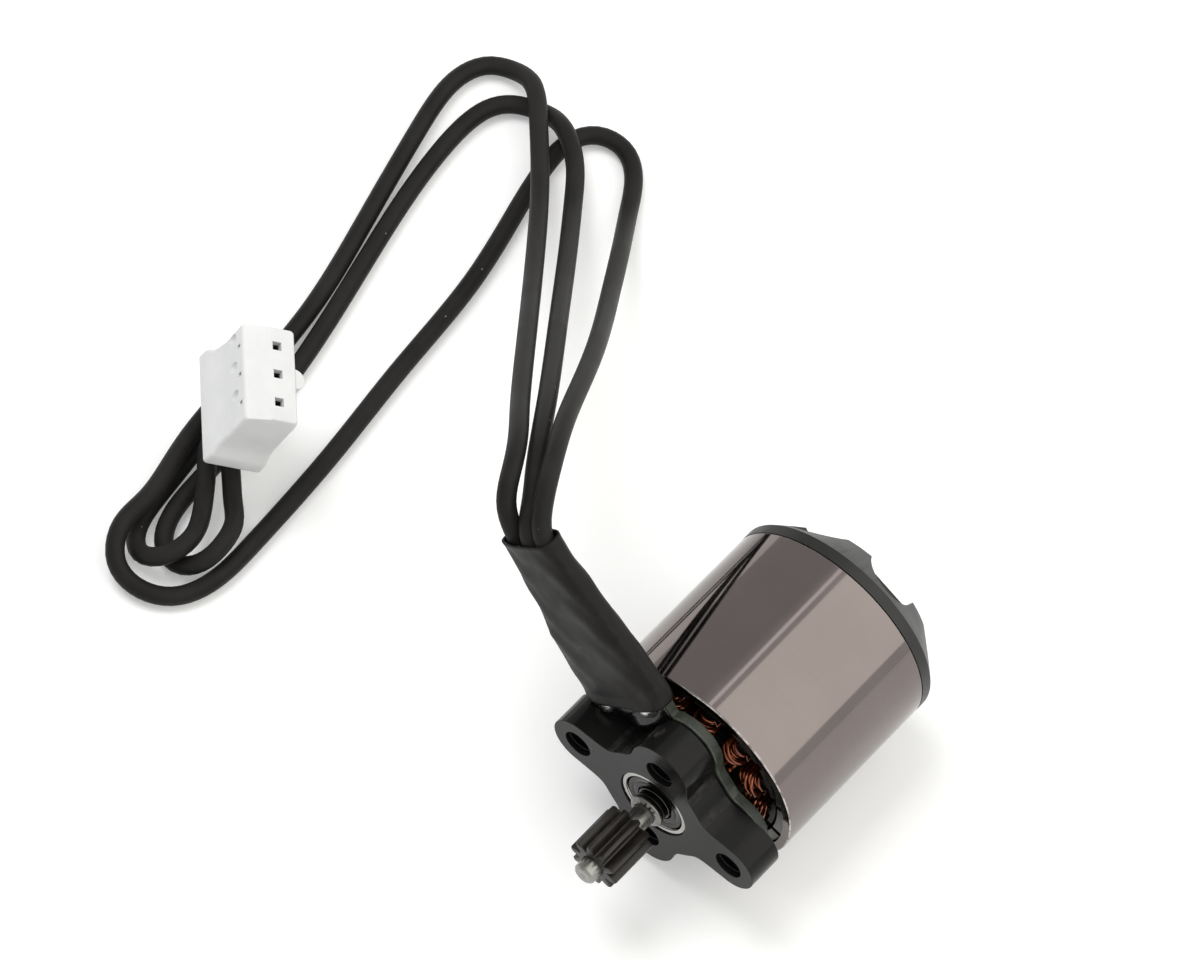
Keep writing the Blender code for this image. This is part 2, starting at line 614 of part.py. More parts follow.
def make_shaft(rotor):
    bright = finish("ground_shaft", (0.72, 0.72, 0.72), 0.2, 1.0)
    dull = finish("spring_steel", (0.5, 0.5, 0.5), 0.3, 1.0)
    brown = finish("oiled_pinion_steel", (0.1, 0.08, 0.065), 0.35, 0.9)
    tip = -SHAFT_NOSE
    end = BELL_BACK - SHAFT_SHORT
    profile = [
        (tip, SHAFT_R - SHAFT_CHAMFER),
        (tip + SHAFT_CHAMFER, SHAFT_R),
        (end - SHAFT_CHAMFER, SHAFT_R),
        (end, SHAFT_R - SHAFT_CHAMFER),
    ]
    add("shaft", turned("shaft", profile, SMALL_ROUND, closed=False), bright, rotor)
    washer_r = INNER_BORE + WASHER_RING
    mesh = ring("front_washer", FRONT_WASHER_FRONT, FRONT_WASHER_BACK, INNER_BORE, washer_r)
    add("front_washer", mesh, dull, rotor)
    mesh = ring("rear_washer", REAR_WASHER_FRONT, REAR_WASHER_BACK, INNER_BORE, washer_r)
    add("rear_washer", mesh, dull, rotor)
    mesh = ring("retaining_clip", CLIP_BACK - CLIP_THICK, CLIP_BACK, INNER_BORE, INNER_BORE + CLIP_RING)
    add("retaining_clip", mesh, dull, rotor)
    add("pinion", pinion_mesh(tip + PINION_SETBACK), brown, rotor)


def pinion_mesh(front):
    """Spur pinion: root, pitch and tip circles from the tooth count and the module."""
    pitch_r = PINION_TEETH * PINION_MODULE / 2
    root_r = pitch_r - 1.25 * PINION_MODULE
    tip_r = pitch_r + PINION_MODULE
    step = 2 * math.pi / PINION_TEETH
    flank = [(root_r, 0.36), (pitch_r, 0.24), (tip_r, 0.11)]
    tooth = [(r, -share) for r, share in flank] + [(r, share) for r, share in reversed(flank)]
    outline = []
    for i in range(PINION_TEETH):
        turns = [(r, (i + share) * step) for r, share in tooth]
        outline += [(r * math.cos(a), r * math.sin(a)) for r, a in turns]
    bore = round_loop(0, 0, INNER_BORE)
    return plate("pinion", [outline, bore], front, front + PINION_LENGTH)


def sleeve_point(rho, across, station):
    """Point in the motor's frame, at a distance out along the tab and to one side of it."""
    out = Vector((math.cos(TAB_ANGLE), 0, math.sin(TAB_ANGLE)))
    side = Vector((math.sin(TAB_ANGLE), 0, -math.cos(TAB_ANGLE)))
    return out * rho + side * across + Vector((0, station, 0))


def stadium_loop(wide, thick, count=20):
    """Points round a flat tube's section, as (across, along the shaft)."""
    half = count // 2
    loop = []
    for side, start in ((1, -math.pi / 2), (-1, math.pi / 2)):
        for i in range(half):
            angle = start + math.pi * i / (half - 1)
            across = side * (wide - thick) / 2 + thick / 2 * math.cos(angle)
            loop.append((across, thick / 2 * math.sin(angle)))
    return loop


def make_sleeve(axis):
    """Shrink sleeve: a flat open tube, wide over the board's tab and drawn in round the leads."""
    black = finish("shrink_sleeve", (0.025, 0.025, 0.025), 0.5, 0.0)
    rings = []
    for layer in (0, SLEEVE_WALL):
        wall = []
        for at, wide, thick in SLEEVE_SHAPE:
            rho = SLEEVE_START + at / SLEEVE_SHAPE[-1][0] * SLEEVE_LENGTH
            loop = stadium_loop(wide * MM - 2 * layer, thick * MM - 2 * layer)
            wall.append([sleeve_point(rho, a, SLEEVE_STATION + b) for a, b in loop])
        rings += wall if layer == 0 else wall[::-1]
    add("lead_sleeve", skin("lead_sleeve", rings, closed=True), black, axis)


def smooth_run(points, length_step, turn_step):
    """Points on a smooth curve through the route, closer together where it bends."""
    route = np.array(points)
    step = np.sqrt(np.linalg.norm(np.diff(route, axis=0), axis=1))
    knots = np.concatenate(([0.0], np.cumsum(step)))
    count = len(route)
    system = np.eye(count)
    right = np.zeros((count, 3))
    for i in range(1, count - 1):
        system[i, i - 1 : i + 2] = step[i - 1], 2 * (step[i - 1] + step[i]), step[i]
        right[i] = 6 * ((route[i + 1] - route[i]) / step[i] - (route[i] - route[i - 1]) / step[i - 1])
    curve = np.linalg.solve(system, right)
    fine = np.linspace(0, knots[-1], 800)
    at = np.clip(np.searchsorted(knots, fine, side="right") - 1, 0, count - 2)
    width = step[at][:, None]
    before = (fine - knots[at])[:, None]
    after = width - before
    dense = (curve[at] * after**3 + curve[at + 1] * before**3) / (6 * width)
    dense += (route[at] / width - curve[at] * width / 6) * after
    dense += (route[at + 1] / width - curve[at + 1] * width / 6) * before
    pieces = np.diff(dense, axis=0)
    lengths = np.linalg.norm(pieces, axis=1)
    headings = pieces / lengths[:, None]
    turns = np.arccos(np.clip((headings[:-1] * headings[1:]).sum(axis=1), -1, 1))
    effort = np.concatenate(([0.0], np.cumsum(lengths / length_step)))
    effort[2:] += np.cumsum(turns) / turn_step
    wanted = np.linspace(0, effort[-1], round(effort[-1]) + 1)
    run = np.stack([np.interp(wanted, effort, dense[:, k]) for k in range(3)], axis=1)
    return run, lengths.sum()


def make_leads(axis, plug):
    """Three insulated leads from the board's tab through the sleeve, along the floor and into the plug."""
    black = finish("lead_insulation", (0.02, 0.02, 0.02), 0.45, 0.0)
    mouth = SLEEVE_START + SLEEVE_LENGTH
    first = SLEEVE_START + LEAD_START
    routes = ((LEAD_1_ROUTE, -1, 0), (LEAD_2_ROUTE, 0, 1), (LEAD_3_ROUTE, 1, -1))
    for number, (route, place, hole) in enumerate(routes, 1):
        points = []
        for share in (0, 0.5, 0.75, 1):
            pitch = LEAD_PITCH_BOARD + (LEAD_PITCH_EXIT - LEAD_PITCH_BOARD) * share
            local = sleeve_point(first + (mouth - first) * share, place * pitch, SLEEVE_STATION)
            points.append(axis.location + local)
        points += [Vector(point) * MM for point in route]
        for depth in (-0.5 * MM, 0.3 * MM, LEAD_IN_PLUG):
            points.append(plug.matrix_world @ Vector((hole * PLUG_PITCH, depth, 0)))
        run, length = smooth_run(points, 10 * MM, math.radians(48))
        print(f"lead {number}: length {length / MM:.1f} mm on {len(run)} points")
        add(f"lead_{number}", wire(f"lead_{number}", run, LEAD_D, 2), black)


def make_plug(plug):
    """Three-way housing with a rear flange, cavities, pin holes, windows and a locating rib."""
    white = finish("white_nylon", (0.8, 0.8, 0.79), 0.4, 0.0)
    half = PLUG_THICK / 2
    body = boxes("plug_housing", [((-PLUG_HALF, FLANGE_LENGTH / 2, -half), (PLUG_HALF, PLUG_LENGTH, half))])
    housing = add("plug_housing", body, white, plug)
    rounding = housing.modifiers.new("rounded_edges", "BEVEL")
    rounding.width = PLUG_ROUND
    rounding.segments = 2
    flange = [((-FLANGE_HALF, 0, -half), (FLANGE_HALF, FLANGE_LENGTH, half + FLANGE_PROUD))]
    combine(housing, "UNION", "plug_flange", boxes("plug_flange", flange))
    rib_y = PLUG_LENGTH - RIB_LONG - PLUG_ROUND
    rib_root = -(half + CAVITY_HIGH / 2) / 2
    rib = [((-RIB_WIDE / 2, rib_y, -half - RIB_PROUD), (RIB_WIDE / 2, rib_y + RIB_LONG, rib_root))]
    combine(housing, "UNION", "plug_rib", boxes("plug_rib", rib))
    ways = [(i - 1) * PLUG_PITCH for i in range(3)]
    wide = CAVITY_WIDE / 2
    high = CAVITY_HIGH / 2
    cavities = [((x - wide, -FLANGE_LENGTH, -high), (x + wide, CAVITY_DEEP, high)) for x in ways]
    combine(housing, "DIFFERENCE", "cavities", boxes("cavities", cavities))
    pin = PIN_HOLE / 2
    past = PLUG_LENGTH + FLANGE_LENGTH
    pins = [((x - pin, CAVITY_DEEP - FLANGE_LENGTH, -pin), (x + pin, past, pin)) for x in ways]
    combine(housing, "DIFFERENCE", "pin_holes", boxes("pin_holes", pins))
    slot = WINDOW_WIDE / 2
    far = WINDOW_FROM_REAR + WINDOW_LONG
    windows = [((x - slot, WINDOW_FROM_REAR, 0), (x + slot, far, PLUG_THICK)) for x in ways]
    combine(housing, "DIFFERENCE", "lance_windows", boxes("lance_windows", windows))
    make_terminals(plug, ways)


def make_terminals(plug, ways):
    """Crimped contacts: a round barrel that runs into a square box, one in each cavity."""
    tin = finish("tinned_contact", (0.7, 0.68, 0.6), 0.3, 1.0)
    start = LEAD_IN_PLUG + TERMINAL_GAP
    turns = [(i + 0.5) * math.pi / 4 for i in range(8)]
    barrel = [(BARREL_R * math.cos(a), BARREL_R * math.sin(a)) for a in turns]
    grow = BLADE_WIDE / 2 / max(x for x, _ in barrel)
    blade = [(x * grow, z * grow) for x, z in barrel]
    stations = (
        (start, barrel),
        (start + BARREL_LONG, barrel),
        (start + BARREL_LONG + TERMINAL_GAP, blade),
        (CAVITY_DEEP - TERMINAL_GAP, blade),
    )
    mesh = skin("crimp_terminal", [[(x, y, z) for x, z in loop] for y, loop in stations])
    for i, x in enumerate(ways):
        terminal = add(f"crimp_terminal_{i + 1}", mesh, tin, plug)
        terminal.location = (x, 0, 0)


def main():
    for old in list(bpy.data.objects):
        bpy.data.objects.remove(old)
    axis = frame_empty("motor_axis", (0, -MIDDLE, AXIS_Z))
    rotor = frame_empty("rotor_axis", (0, -MIDDLE, AXIS_Z))
    plug = frame_empty("plug_frame", PLUG_REAR, (PLUG_LIFT, 0, PLUG_HEADING))
    bpy.context.view_layer.update()
    make_base(axis)
    make_bearings(axis, rotor)
    make_board(axis)
    make_core(axis)
    make_coils(axis)
    make_can(rotor)
    make_bell(rotor)
    make_shaft(rotor)
    make_sleeve(axis)
    make_plug(plug)
    make_leads(axis, plug)


main()
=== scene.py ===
import json
from math import copysign, cos, exp, pi, radians, sin, sqrt

import bmesh
import bpy
import numpy as np
from mathutils import Matrix, Vector


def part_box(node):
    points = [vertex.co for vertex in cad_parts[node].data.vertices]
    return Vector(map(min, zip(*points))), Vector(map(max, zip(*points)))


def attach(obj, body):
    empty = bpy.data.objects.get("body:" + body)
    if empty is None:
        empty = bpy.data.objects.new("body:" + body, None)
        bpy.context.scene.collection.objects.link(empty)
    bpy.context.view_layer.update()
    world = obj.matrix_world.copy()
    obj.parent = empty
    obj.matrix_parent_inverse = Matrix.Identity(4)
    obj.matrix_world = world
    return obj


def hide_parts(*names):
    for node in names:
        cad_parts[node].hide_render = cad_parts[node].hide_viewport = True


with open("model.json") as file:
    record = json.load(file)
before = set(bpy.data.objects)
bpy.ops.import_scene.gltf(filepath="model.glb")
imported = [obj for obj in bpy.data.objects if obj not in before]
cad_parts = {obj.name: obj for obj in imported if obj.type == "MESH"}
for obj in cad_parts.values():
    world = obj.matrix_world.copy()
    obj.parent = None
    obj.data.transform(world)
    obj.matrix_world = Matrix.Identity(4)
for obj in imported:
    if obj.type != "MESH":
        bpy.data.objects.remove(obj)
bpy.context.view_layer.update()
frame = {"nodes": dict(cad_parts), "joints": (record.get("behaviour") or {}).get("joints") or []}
mm, tiny = 0.001, 1e-6
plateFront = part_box("mount_base")[0].y  # station zero, the front face of the mounting plate
axisHeight = frame["joints"][0]["pos_m"][2]
onShaft = Matrix.Translation((0, plateFront, axisHeight)) @ Matrix.Scale(mm, 4)  # x, station, z in mm
unmoved = Matrix.Identity(4)
print("frame loaded:", len(frame["nodes"]), "nodes")


# node helpers

def addNode(tree, kind, inputs=None, **settings):
    node = tree.nodes.new(kind)
    for key, value in settings.items():
        setattr(node, key, value)
    for key, value in (inputs or {}).items():
        if isinstance(value, bpy.types.NodeSocket):
            tree.links.new(value, node.inputs[key])
        else:
            node.inputs[key].default_value = value
    return node


def outOf(tree, kind, inputs=None, **settings):
    return addNode(tree, kind, inputs, **settings).outputs[0]


def doMath(tree, operation, first, second=0.0, third=0.0, clamp=False):
    inputs = {0: first, 1: second, 2: third}
    return outOf(tree, "ShaderNodeMath", inputs, operation=operation, use_clamp=clamp)


def ramp(tree, value, low, high, outLow=0.0, outHigh=1.0):
    inputs = {"Value": value, "From Min": low, "From Max": high, "To Min": outLow, "To Max": outHigh}
    return outOf(tree, "ShaderNodeMapRange", inputs, interpolation_type="SMOOTHSTEP")


def mixColor(tree, factor, first, second):
    inputs = {0: factor, 6: first, 7: second}
    return addNode(tree, "ShaderNodeMix", inputs, data_type="RGBA").outputs[2]


def noise(tree, vector, scale, detail=3.0, roughness=0.55):
    inputs = {"Vector": vector, "Scale": scale, "Detail": detail, "Roughness": roughness}
    return outOf(tree, "ShaderNodeTexNoise", inputs)


def newGroup(name, amounts, outputs):  # every group takes a spot on the object and its own amounts
    tree = bpy.data.node_groups.new(name, "ShaderNodeTree")
    tree.interface.new_socket("Vector", in_out="INPUT", socket_type="NodeSocketVector")
    for label, value in amounts.items():
        socket = tree.interface.new_socket(label, in_out="INPUT", socket_type="NodeSocketFloat")
        socket.default_value = value
    for label in outputs:
        tree.interface.new_socket(label, in_out="OUTPUT", socket_type="NodeSocketFloat")
    return tree, addNode(tree, "NodeGroupInput").outputs, addNode(tree, "NodeGroupOutput").inputs


def placeGroup(tree, group, inputs):
    return addNode(tree, "ShaderNodeGroup", inputs, node_tree=group).outputs


# effects shared by the finishes; every pattern is in millimetres on the object

def makeGrain():
    tree, given, out = newGroup("surfaceGrain", dict(Fine=12.0, Broad=0.6), ["Height", "Tone"])
    fine = noise(tree, given["Vector"], given["Fine"], detail=4, roughness=0.6)
    broad = noise(tree, given["Vector"], given["Broad"], roughness=0.5)
    tree.links.new(fine, out["Height"])
    tree.links.new(ramp(tree, broad, 0.3, 0.7), out["Tone"])
    return tree


# lighter edges: real wear on most finishes, painted highlight along the can's front lip
def makeEdgeWearHighlight():
    tree, given, out = newGroup("edgeWearAndHighlight", dict(Patches=1.6, Amount=0.5), ["Mask"])
    edge = addNode(tree, "ShaderNodeAttribute", attribute_name="edgeMark").outputs["Fac"]
    patches = noise(tree, given["Vector"], given["Patches"], detail=5, roughness=0.65)
    broken = ramp(tree, patches, 0.35, 0.7)
    both = doMath(tree, "MULTIPLY", edge, broken)
    tree.links.new(doMath(tree, "MULTIPLY", both, given["Amount"], clamp=True), out["Mask"])
    return tree


def makeLint():
    tree, given, out = newGroup("lintSpecks", dict(Spread=1.6, Share=0.08, Size=0.07), ["Mask"])
    stretch = {0: given["Vector"], 1: (1.0, 0.6, 1.4)}
    bent = outOf(tree, "ShaderNodeVectorMath", stretch, operation="MULTIPLY")
    cells = addNode(tree, "ShaderNodeTexVoronoi", {"Vector": bent, "Scale": given["Spread"]}).outputs
    pick = outOf(tree, "ShaderNodeSeparateColor", {0: cells["Color"]})
    chosen = doMath(tree, "LESS_THAN", pick, given["Share"])
    near = doMath(tree, "LESS_THAN", cells["Distance"], given["Size"])
    tree.links.new(doMath(tree, "MULTIPLY", chosen, near), out["Mask"])
    return tree


def makeTurning():  # tool lines that run round a turned piece, on its sides and faces
    tree, given, out = newGroup("turningLines", dict(Pitch=6.0), ["Height"])
    x, station, z = addNode(tree, "ShaderNodeSeparateXYZ", {0: given["Vector"]}).outputs
    up = doMath(tree, "SUBTRACT", z, axisHeight / mm)
    square = doMath(tree, "ADD", doMath(tree, "MULTIPLY", x, x), doMath(tree, "MULTIPLY", up, up))
    along = doMath(tree, "ADD", doMath(tree, "SQRT", square), station)
    inputs = {"W": along, "Scale": given["Pitch"], "Detail": 3.0}
    lines = outOf(tree, "ShaderNodeTexNoise", inputs, noise_dimensions="1D")
    tree.links.new(lines, out["Height"])
    return tree


grain, edgeWearHighlightGroup, lint, turning = makeGrain(), makeEdgeWearHighlight(), makeLint(), makeTurning()


def color(tone):
    return (*tone, 1.0)


def newFinish(name, **values):
    material = bpy.data.materials.new(name)
    material.use_nodes = True
    tree = material.node_tree
    shader = tree.nodes["Principled BSDF"]
    for key, value in values.items():
        shader.inputs[key.replace("_", " ")].default_value = value
    spot = addNode(tree, "ShaderNodeTexCoord").outputs["Object"]
    vector = outOf(tree, "ShaderNodeVectorMath", {0: spot, "Scale": 1 / mm}, operation="SCALE")
    return material, tree, shader.inputs, vector


def tintWornAndLitEdges(tree, vector, body, wearAndHighlightTone, amount):
    mask = placeGroup(tree, edgeWearHighlightGroup, {"Vector": vector, "Amount": amount})["Mask"]
    return mixColor(tree, mask, body, color(wearAndHighlightTone))


def dress(tree, inputs, body, rough, height, depth):
    raised = outOf(tree, "ShaderNodeBump", {"Height": height, "Distance": depth * mm})
    for socket, label in ((body, "Base Color"), (rough, "Roughness"), (raised, "Normal")):
        tree.links.new(socket, inputs[label])


# one row per plain finish: dark and light tone, roughness from and to, grain per mm and its depth in mm,
# metal, sheen of the skin, coat and its roughness, tone and strength of rubbed edges, share of lint
finishRows = dict(
    baseBlack=dict(
        dark=(0.0068, 0.0064, 0.0062), light=(0.0098, 0.0093, 0.009), rough=(0.17, 0.25), fine=24.0,
        broad=0.3, depth=0.0006, skin=0.14, wearAndHighlightTone=(0.05, 0.048, 0.046), wearAndHighlightAmount=0.35, specks=0.04),
    bellCharcoal=dict(
        dark=(0.0125, 0.012, 0.0116), light=(0.0178, 0.0172, 0.0167), rough=(0.36, 0.44), fine=26.0,
        broad=0.4, depth=0.0009, skin=0.32, wearAndHighlightTone=(0.085, 0.083, 0.08), wearAndHighlightAmount=0.4, specks=0.02),
    sleeveBlack=dict(
        dark=(0.0044, 0.0036, 0.0033), light=(0.009, 0.0076, 0.0072), rough=(0.42, 0.56), fine=6.0,
        broad=0.4, depth=0.012, skin=0.17, wearAndHighlightTone=(0.02, 0.019, 0.018), wearAndHighlightAmount=0.4, specks=0.06),
    leadBlack=dict(
        dark=(0.014, 0.0133, 0.0128), light=(0.0225, 0.0214, 0.0207), rough=(0.4, 0.52), fine=8.0,
        broad=0.22, depth=0.003, skin=0.085, specks=0.07),
    plugNylon=dict(
        dark=(0.69, 0.7, 0.705), light=(0.74, 0.745, 0.745), rough=(0.38, 0.5), fine=8.0, broad=0.5,
        depth=0.002, skin=0.35, wearAndHighlightTone=(0.78, 0.785, 0.79), wearAndHighlightAmount=0.4),
    pinionDark=dict(
        dark=(0.0125, 0.0105, 0.0085), light=(0.023, 0.0195, 0.016), rough=(0.3, 0.42), fine=16.0,
        broad=0.9, depth=0.002, metal=0.25, skin=0.4, wearAndHighlightTone=(0.06, 0.052, 0.045), wearAndHighlightAmount=0.2),
    boardMask=dict(
        dark=(0.02, 0.0245, 0.019), light=(0.04, 0.046, 0.036), rough=(0.38, 0.52), fine=7.0, broad=1.4,
        depth=0.008, skin=0.35, wearAndHighlightTone=(0.13, 0.138, 0.108), wearAndHighlightAmount=0.5),
    magnetNickel=dict(
        dark=(0.1, 0.098, 0.095), light=(0.17, 0.166, 0.16), rough=(0.28, 0.42), fine=14.0, broad=1.0,
        depth=0.002, metal=1.0, wearAndHighlightTone=(0.3, 0.29, 0.28), wearAndHighlightAmount=0.3),
    cageBrass=dict(
        dark=(0.3, 0.25, 0.15), light=(0.4, 0.34, 0.23), rough=(0.25, 0.38), fine=18.0, broad=1.5,
        depth=0.002, metal=1.0, wearAndHighlightTone=(0.5, 0.45, 0.36), wearAndHighlightAmount=0.3),
    contactTin=dict(
        dark=(0.36, 0.34, 0.29), light=(0.46, 0.44, 0.39), rough=(0.25, 0.4), fine=12.0, broad=1.5,
        depth=0.003, metal=1.0, wearAndHighlightTone=(0.55, 0.54, 0.52), wearAndHighlightAmount=0.3),
    solderGrey=dict(
        dark=(0.5, 0.5, 0.49), light=(0.75, 0.75, 0.74), rough=(0.14, 0.34), fine=4.0, broad=1.6,
        depth=0.03, metal=1.0, wearAndHighlightTone=(0.8, 0.8, 0.79), wearAndHighlightAmount=0.2),
    # black of the bearing shield; on the front washer the same dark is painted shade
    blackShieldAndWasherShade=dict(
        dark=(0.011, 0.0105, 0.01), light=(0.021, 0.02, 0.0185), rough=(0.14, 0.26), fine=15.0, broad=1.5,
        depth=0.001, metal=0.95, wearAndHighlightTone=(0.12, 0.115, 0.11), wearAndHighlightAmount=0.3),
    # painted shade: the dark tone of the linings put in the plug's pin holes
    paintedHoleShade=dict(
        dark=(0.02, 0.017, 0.012), light=(0.04, 0.034, 0.026), rough=(0.35, 0.5), fine=12.0, broad=1.5,
        depth=0.001, metal=0.3, skin=0.3),
    glueBlack=dict(
        dark=(0.0025, 0.0024, 0.0023), light=(0.0055, 0.005, 0.0047), rough=(0.06, 0.16), fine=2.2,
        broad=0.8, depth=0.06, skin=0.4, specks=0.03),
    copperEnamel=dict(
        dark=(0.1, 0.021, 0.008), light=(0.36, 0.098, 0.034), rough=(0.14, 0.26), fine=14.0, broad=1.3,
        depth=0.004, metal=0.85, coat=(0.6, 0.12)))
lintColor = color((0.2, 0.195, 0.18))


def makeFinish(name, dark, light, rough, fine, broad, depth, metal=0.0, skin=0.5, coat=(0.0, 0.03),
               wearAndHighlightTone=None, wearAndHighlightAmount=0.0, specks=0.0):
    material, tree, inputs, vector = newFinish(name, Metallic=metal, Specular_IOR_Level=skin,
                                               Coat_Weight=coat[0], Coat_Roughness=coat[1])
    texture = placeGroup(tree, grain, {"Vector": vector, "Fine": fine, "Broad": broad})
    body = mixColor(tree, texture["Tone"], color(dark), color(light))
    if wearAndHighlightTone:
        body = tintWornAndLitEdges(tree, vector, body, wearAndHighlightTone, wearAndHighlightAmount)
    if specks:
        mask = placeGroup(tree, lint, {"Vector": vector, "Share": specks})["Mask"]
        body = mixColor(tree, mask, body, lintColor)
    dress(tree, inputs, body, ramp(tree, texture["Tone"], 0.0, 1.0, *rough), texture["Height"], depth)
    return material


# turned metal: dark and light tone, roughness from and to, tool lines per mm and their depth in mm
turnedRows = dict(
    # the can's lighter edge tone draws a line along its front lip: partly a polished chamfer, partly painted
    # highlight
    canNickel=dict(
        dark=(0.174, 0.148, 0.142), light=(0.194, 0.166, 0.159), rough=(0.065, 0.095), pitch=3.0,
        depth=0.0002, broad=0.18, wearAndHighlightTone=(0.5, 0.465, 0.45), wearAndHighlightAmount=1.8),
    ringSteel=dict(
        dark=(0.34, 0.33, 0.315), light=(0.5, 0.49, 0.47), rough=(0.1, 0.2), pitch=14.0, depth=0.001),
    shaftGround=dict(
        dark=(0.2, 0.196, 0.18), light=(0.3, 0.295, 0.275), rough=(0.2, 0.32), pitch=18.0, depth=0.0015),
    springSteel=dict(
        dark=(0.13, 0.125, 0.118), light=(0.22, 0.214, 0.2), rough=(0.12, 0.22), pitch=10.0, depth=0.002),
    # painted shade: bearing steel darkened for the inner ring, which sits in shade behind the shield
    ringSteelPaintedShade=dict(
        dark=(0.035, 0.033, 0.031), light=(0.07, 0.067, 0.063), rough=(0.1, 0.2), pitch=14.0, depth=0.001))
lineShare = 0.35  # how much of the tone follows the tool lines


def makeTurnedFinish(name, dark, light, rough, pitch, depth, broad=0.4, wearAndHighlightTone=None, wearAndHighlightAmount=0.0):
    material, tree, inputs, vector = newFinish(name, Metallic=1.0)
    tone = placeGroup(tree, grain, {"Vector": vector, "Broad": broad})["Tone"]
    lines = placeGroup(tree, turning, {"Vector": vector, "Pitch": pitch})["Height"]
    blend = doMath(tree, "MULTIPLY_ADD", lines, lineShare, doMath(tree, "MULTIPLY", tone, 1 - lineShare))
    body = mixColor(tree, blend, color(dark), color(light))
    if wearAndHighlightTone:
        body = tintWornAndLitEdges(tree, vector, body, wearAndHighlightTone, wearAndHighlightAmount)
    dress(tree, inputs, body, ramp(tree, blend, 0.1, 0.9, *rough), lines, depth)
    return material


lamination = dict(sheets=0.8, waver=0.2, seam=(0.75, 1.0), gap=(0.012, 0.012, 0.012),
                  dark=(0.035, 0.034, 0.033), light=(0.06, 0.058, 0.056), rough=(0.4, 0.6),
                  fine=9.0, broad=0.8, depth=0.02, metal=0.7)


def makeLamination(sheets, waver, seam, gap, dark, light, rough, fine, broad, depth, metal):
    material, tree, inputs, vector = newFinish("laminationStack", Metallic=metal)
    wave = addNode(tree, "ShaderNodeTexWave", {"Vector": vector, "Scale": sheets, "Distortion": waver},
                   bands_direction="Y", wave_profile="SAW").outputs[1]
    texture = placeGroup(tree, grain, {"Vector": vector, "Fine": fine, "Broad": broad})
    edge = ramp(tree, wave, *seam)
    body = mixColor(tree, texture["Tone"], color(dark), color(light))
    body = mixColor(tree, edge, body, color(gap))
    height = doMath(tree, "SUBTRACT", texture["Height"], edge)
    dress(tree, inputs, body, ramp(tree, texture["Tone"], 0.0, 1.0, *rough), height, depth)
    return material


finishes = {name: makeFinish(name, **row) for name, row in finishRows.items()}
finishes.update({name: makeTurnedFinish(name, **row) for name, row in turnedRows.items()})
finishes["laminationStack"] = makeLamination(**lamination)
print("finishes made:", len(finishes))


# mesh helpers

def addObject(name, data):
    thing = bpy.data.objects.new(name, data)
    bpy.context.scene.collection.objects.link(thing)
    return thing


def markEdges(mesh, width=0.12 * mm, bend=0.12):  # narrow strips where the surface turns
    shape = bmesh.new()
    shape.from_mesh(mesh)
    marks = []
    for face in shape.faces:
        longest = max(edge.calc_length() for edge in face.edges)
        narrow = face.calc_area() < width * longest
        turns = sorted(edge.calc_face_angle(0.0) for edge in face.edges if len(edge.link_faces) == 2)
        marks.append(1.0 if narrow and len(turns) > 1 and turns[-2] > bend else 0.0)
    shape.free()
    attribute = mesh.attributes.get("edgeMark") or mesh.attributes.new("edgeMark", "FLOAT", "FACE")
    attribute.data.foreach_set("value", marks)


def settle(piece, body, slot, *stands):
    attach(piece, body)
    if stands:
        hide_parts(*stands)
    return piece


def place(name, mesh, finish, body, slot, *stands):
    mesh.name = name
    mesh.materials.clear()
    mesh.materials.append(finishes[finish])
    markEdges(mesh)
    return settle(addObject(name, mesh), body, slot, *stands)


def toMesh(shape, where=onShaft):
    bmesh.ops.remove_doubles(shape, verts=shape.verts, dist=1e-5)
    bmesh.ops.recalc_face_normals(shape, faces=shape.faces)
    bmesh.ops.transform(shape, matrix=where, verts=shape.verts)
    mesh = bpy.data.meshes.new("piece")
    shape.to_mesh(mesh)
    shape.free()
    mesh.shade_smooth()
    return mesh


def evaluated(work, where):
    view = bpy.context.evaluated_depsgraph_get()
    view.update()
    result = bpy.data.meshes.new_from_object(work.evaluated_get(view))
    result.transform(where)
    return result


def applied(mesh, edge, cutters=(), joins=(), segments=3, angle=40, where=onShaft, sharp=None):
    # joins, cuts and a rounded edge, worked in millimetres and then put in place
    for part in [mesh, *cutters, *joins]:
        part.shade_smooth()
    work = addObject("work", mesh)
    helpers = []
    for operation, meshes in (("UNION", joins), ("DIFFERENCE", cutters)):
        for other in meshes:
            helpers.append(addObject("helper", other))
            step = work.modifiers.new("step", "BOOLEAN")
            step.operation, step.solver, step.object = operation, "EXACT", helpers[-1]
    step = work.modifiers.new("round", "BEVEL")
    step.width, step.segments, step.limit_method = edge, segments, "ANGLE"
    step.angle_limit = radians(angle)
    if sharp is None:  # keeps the flat faces flat in the reflections
        step = work.modifiers.new("even", "WEIGHTED_NORMAL")
        step.mode, step.weight = "FACE_AREA", 50
    result = evaluated(work, where)
    for thing in [work, *helpers]:
        bpy.data.objects.remove(thing)
    if sharp is not None:
        result.set_sharp_from_angle(angle=radians(sharp))
    return result


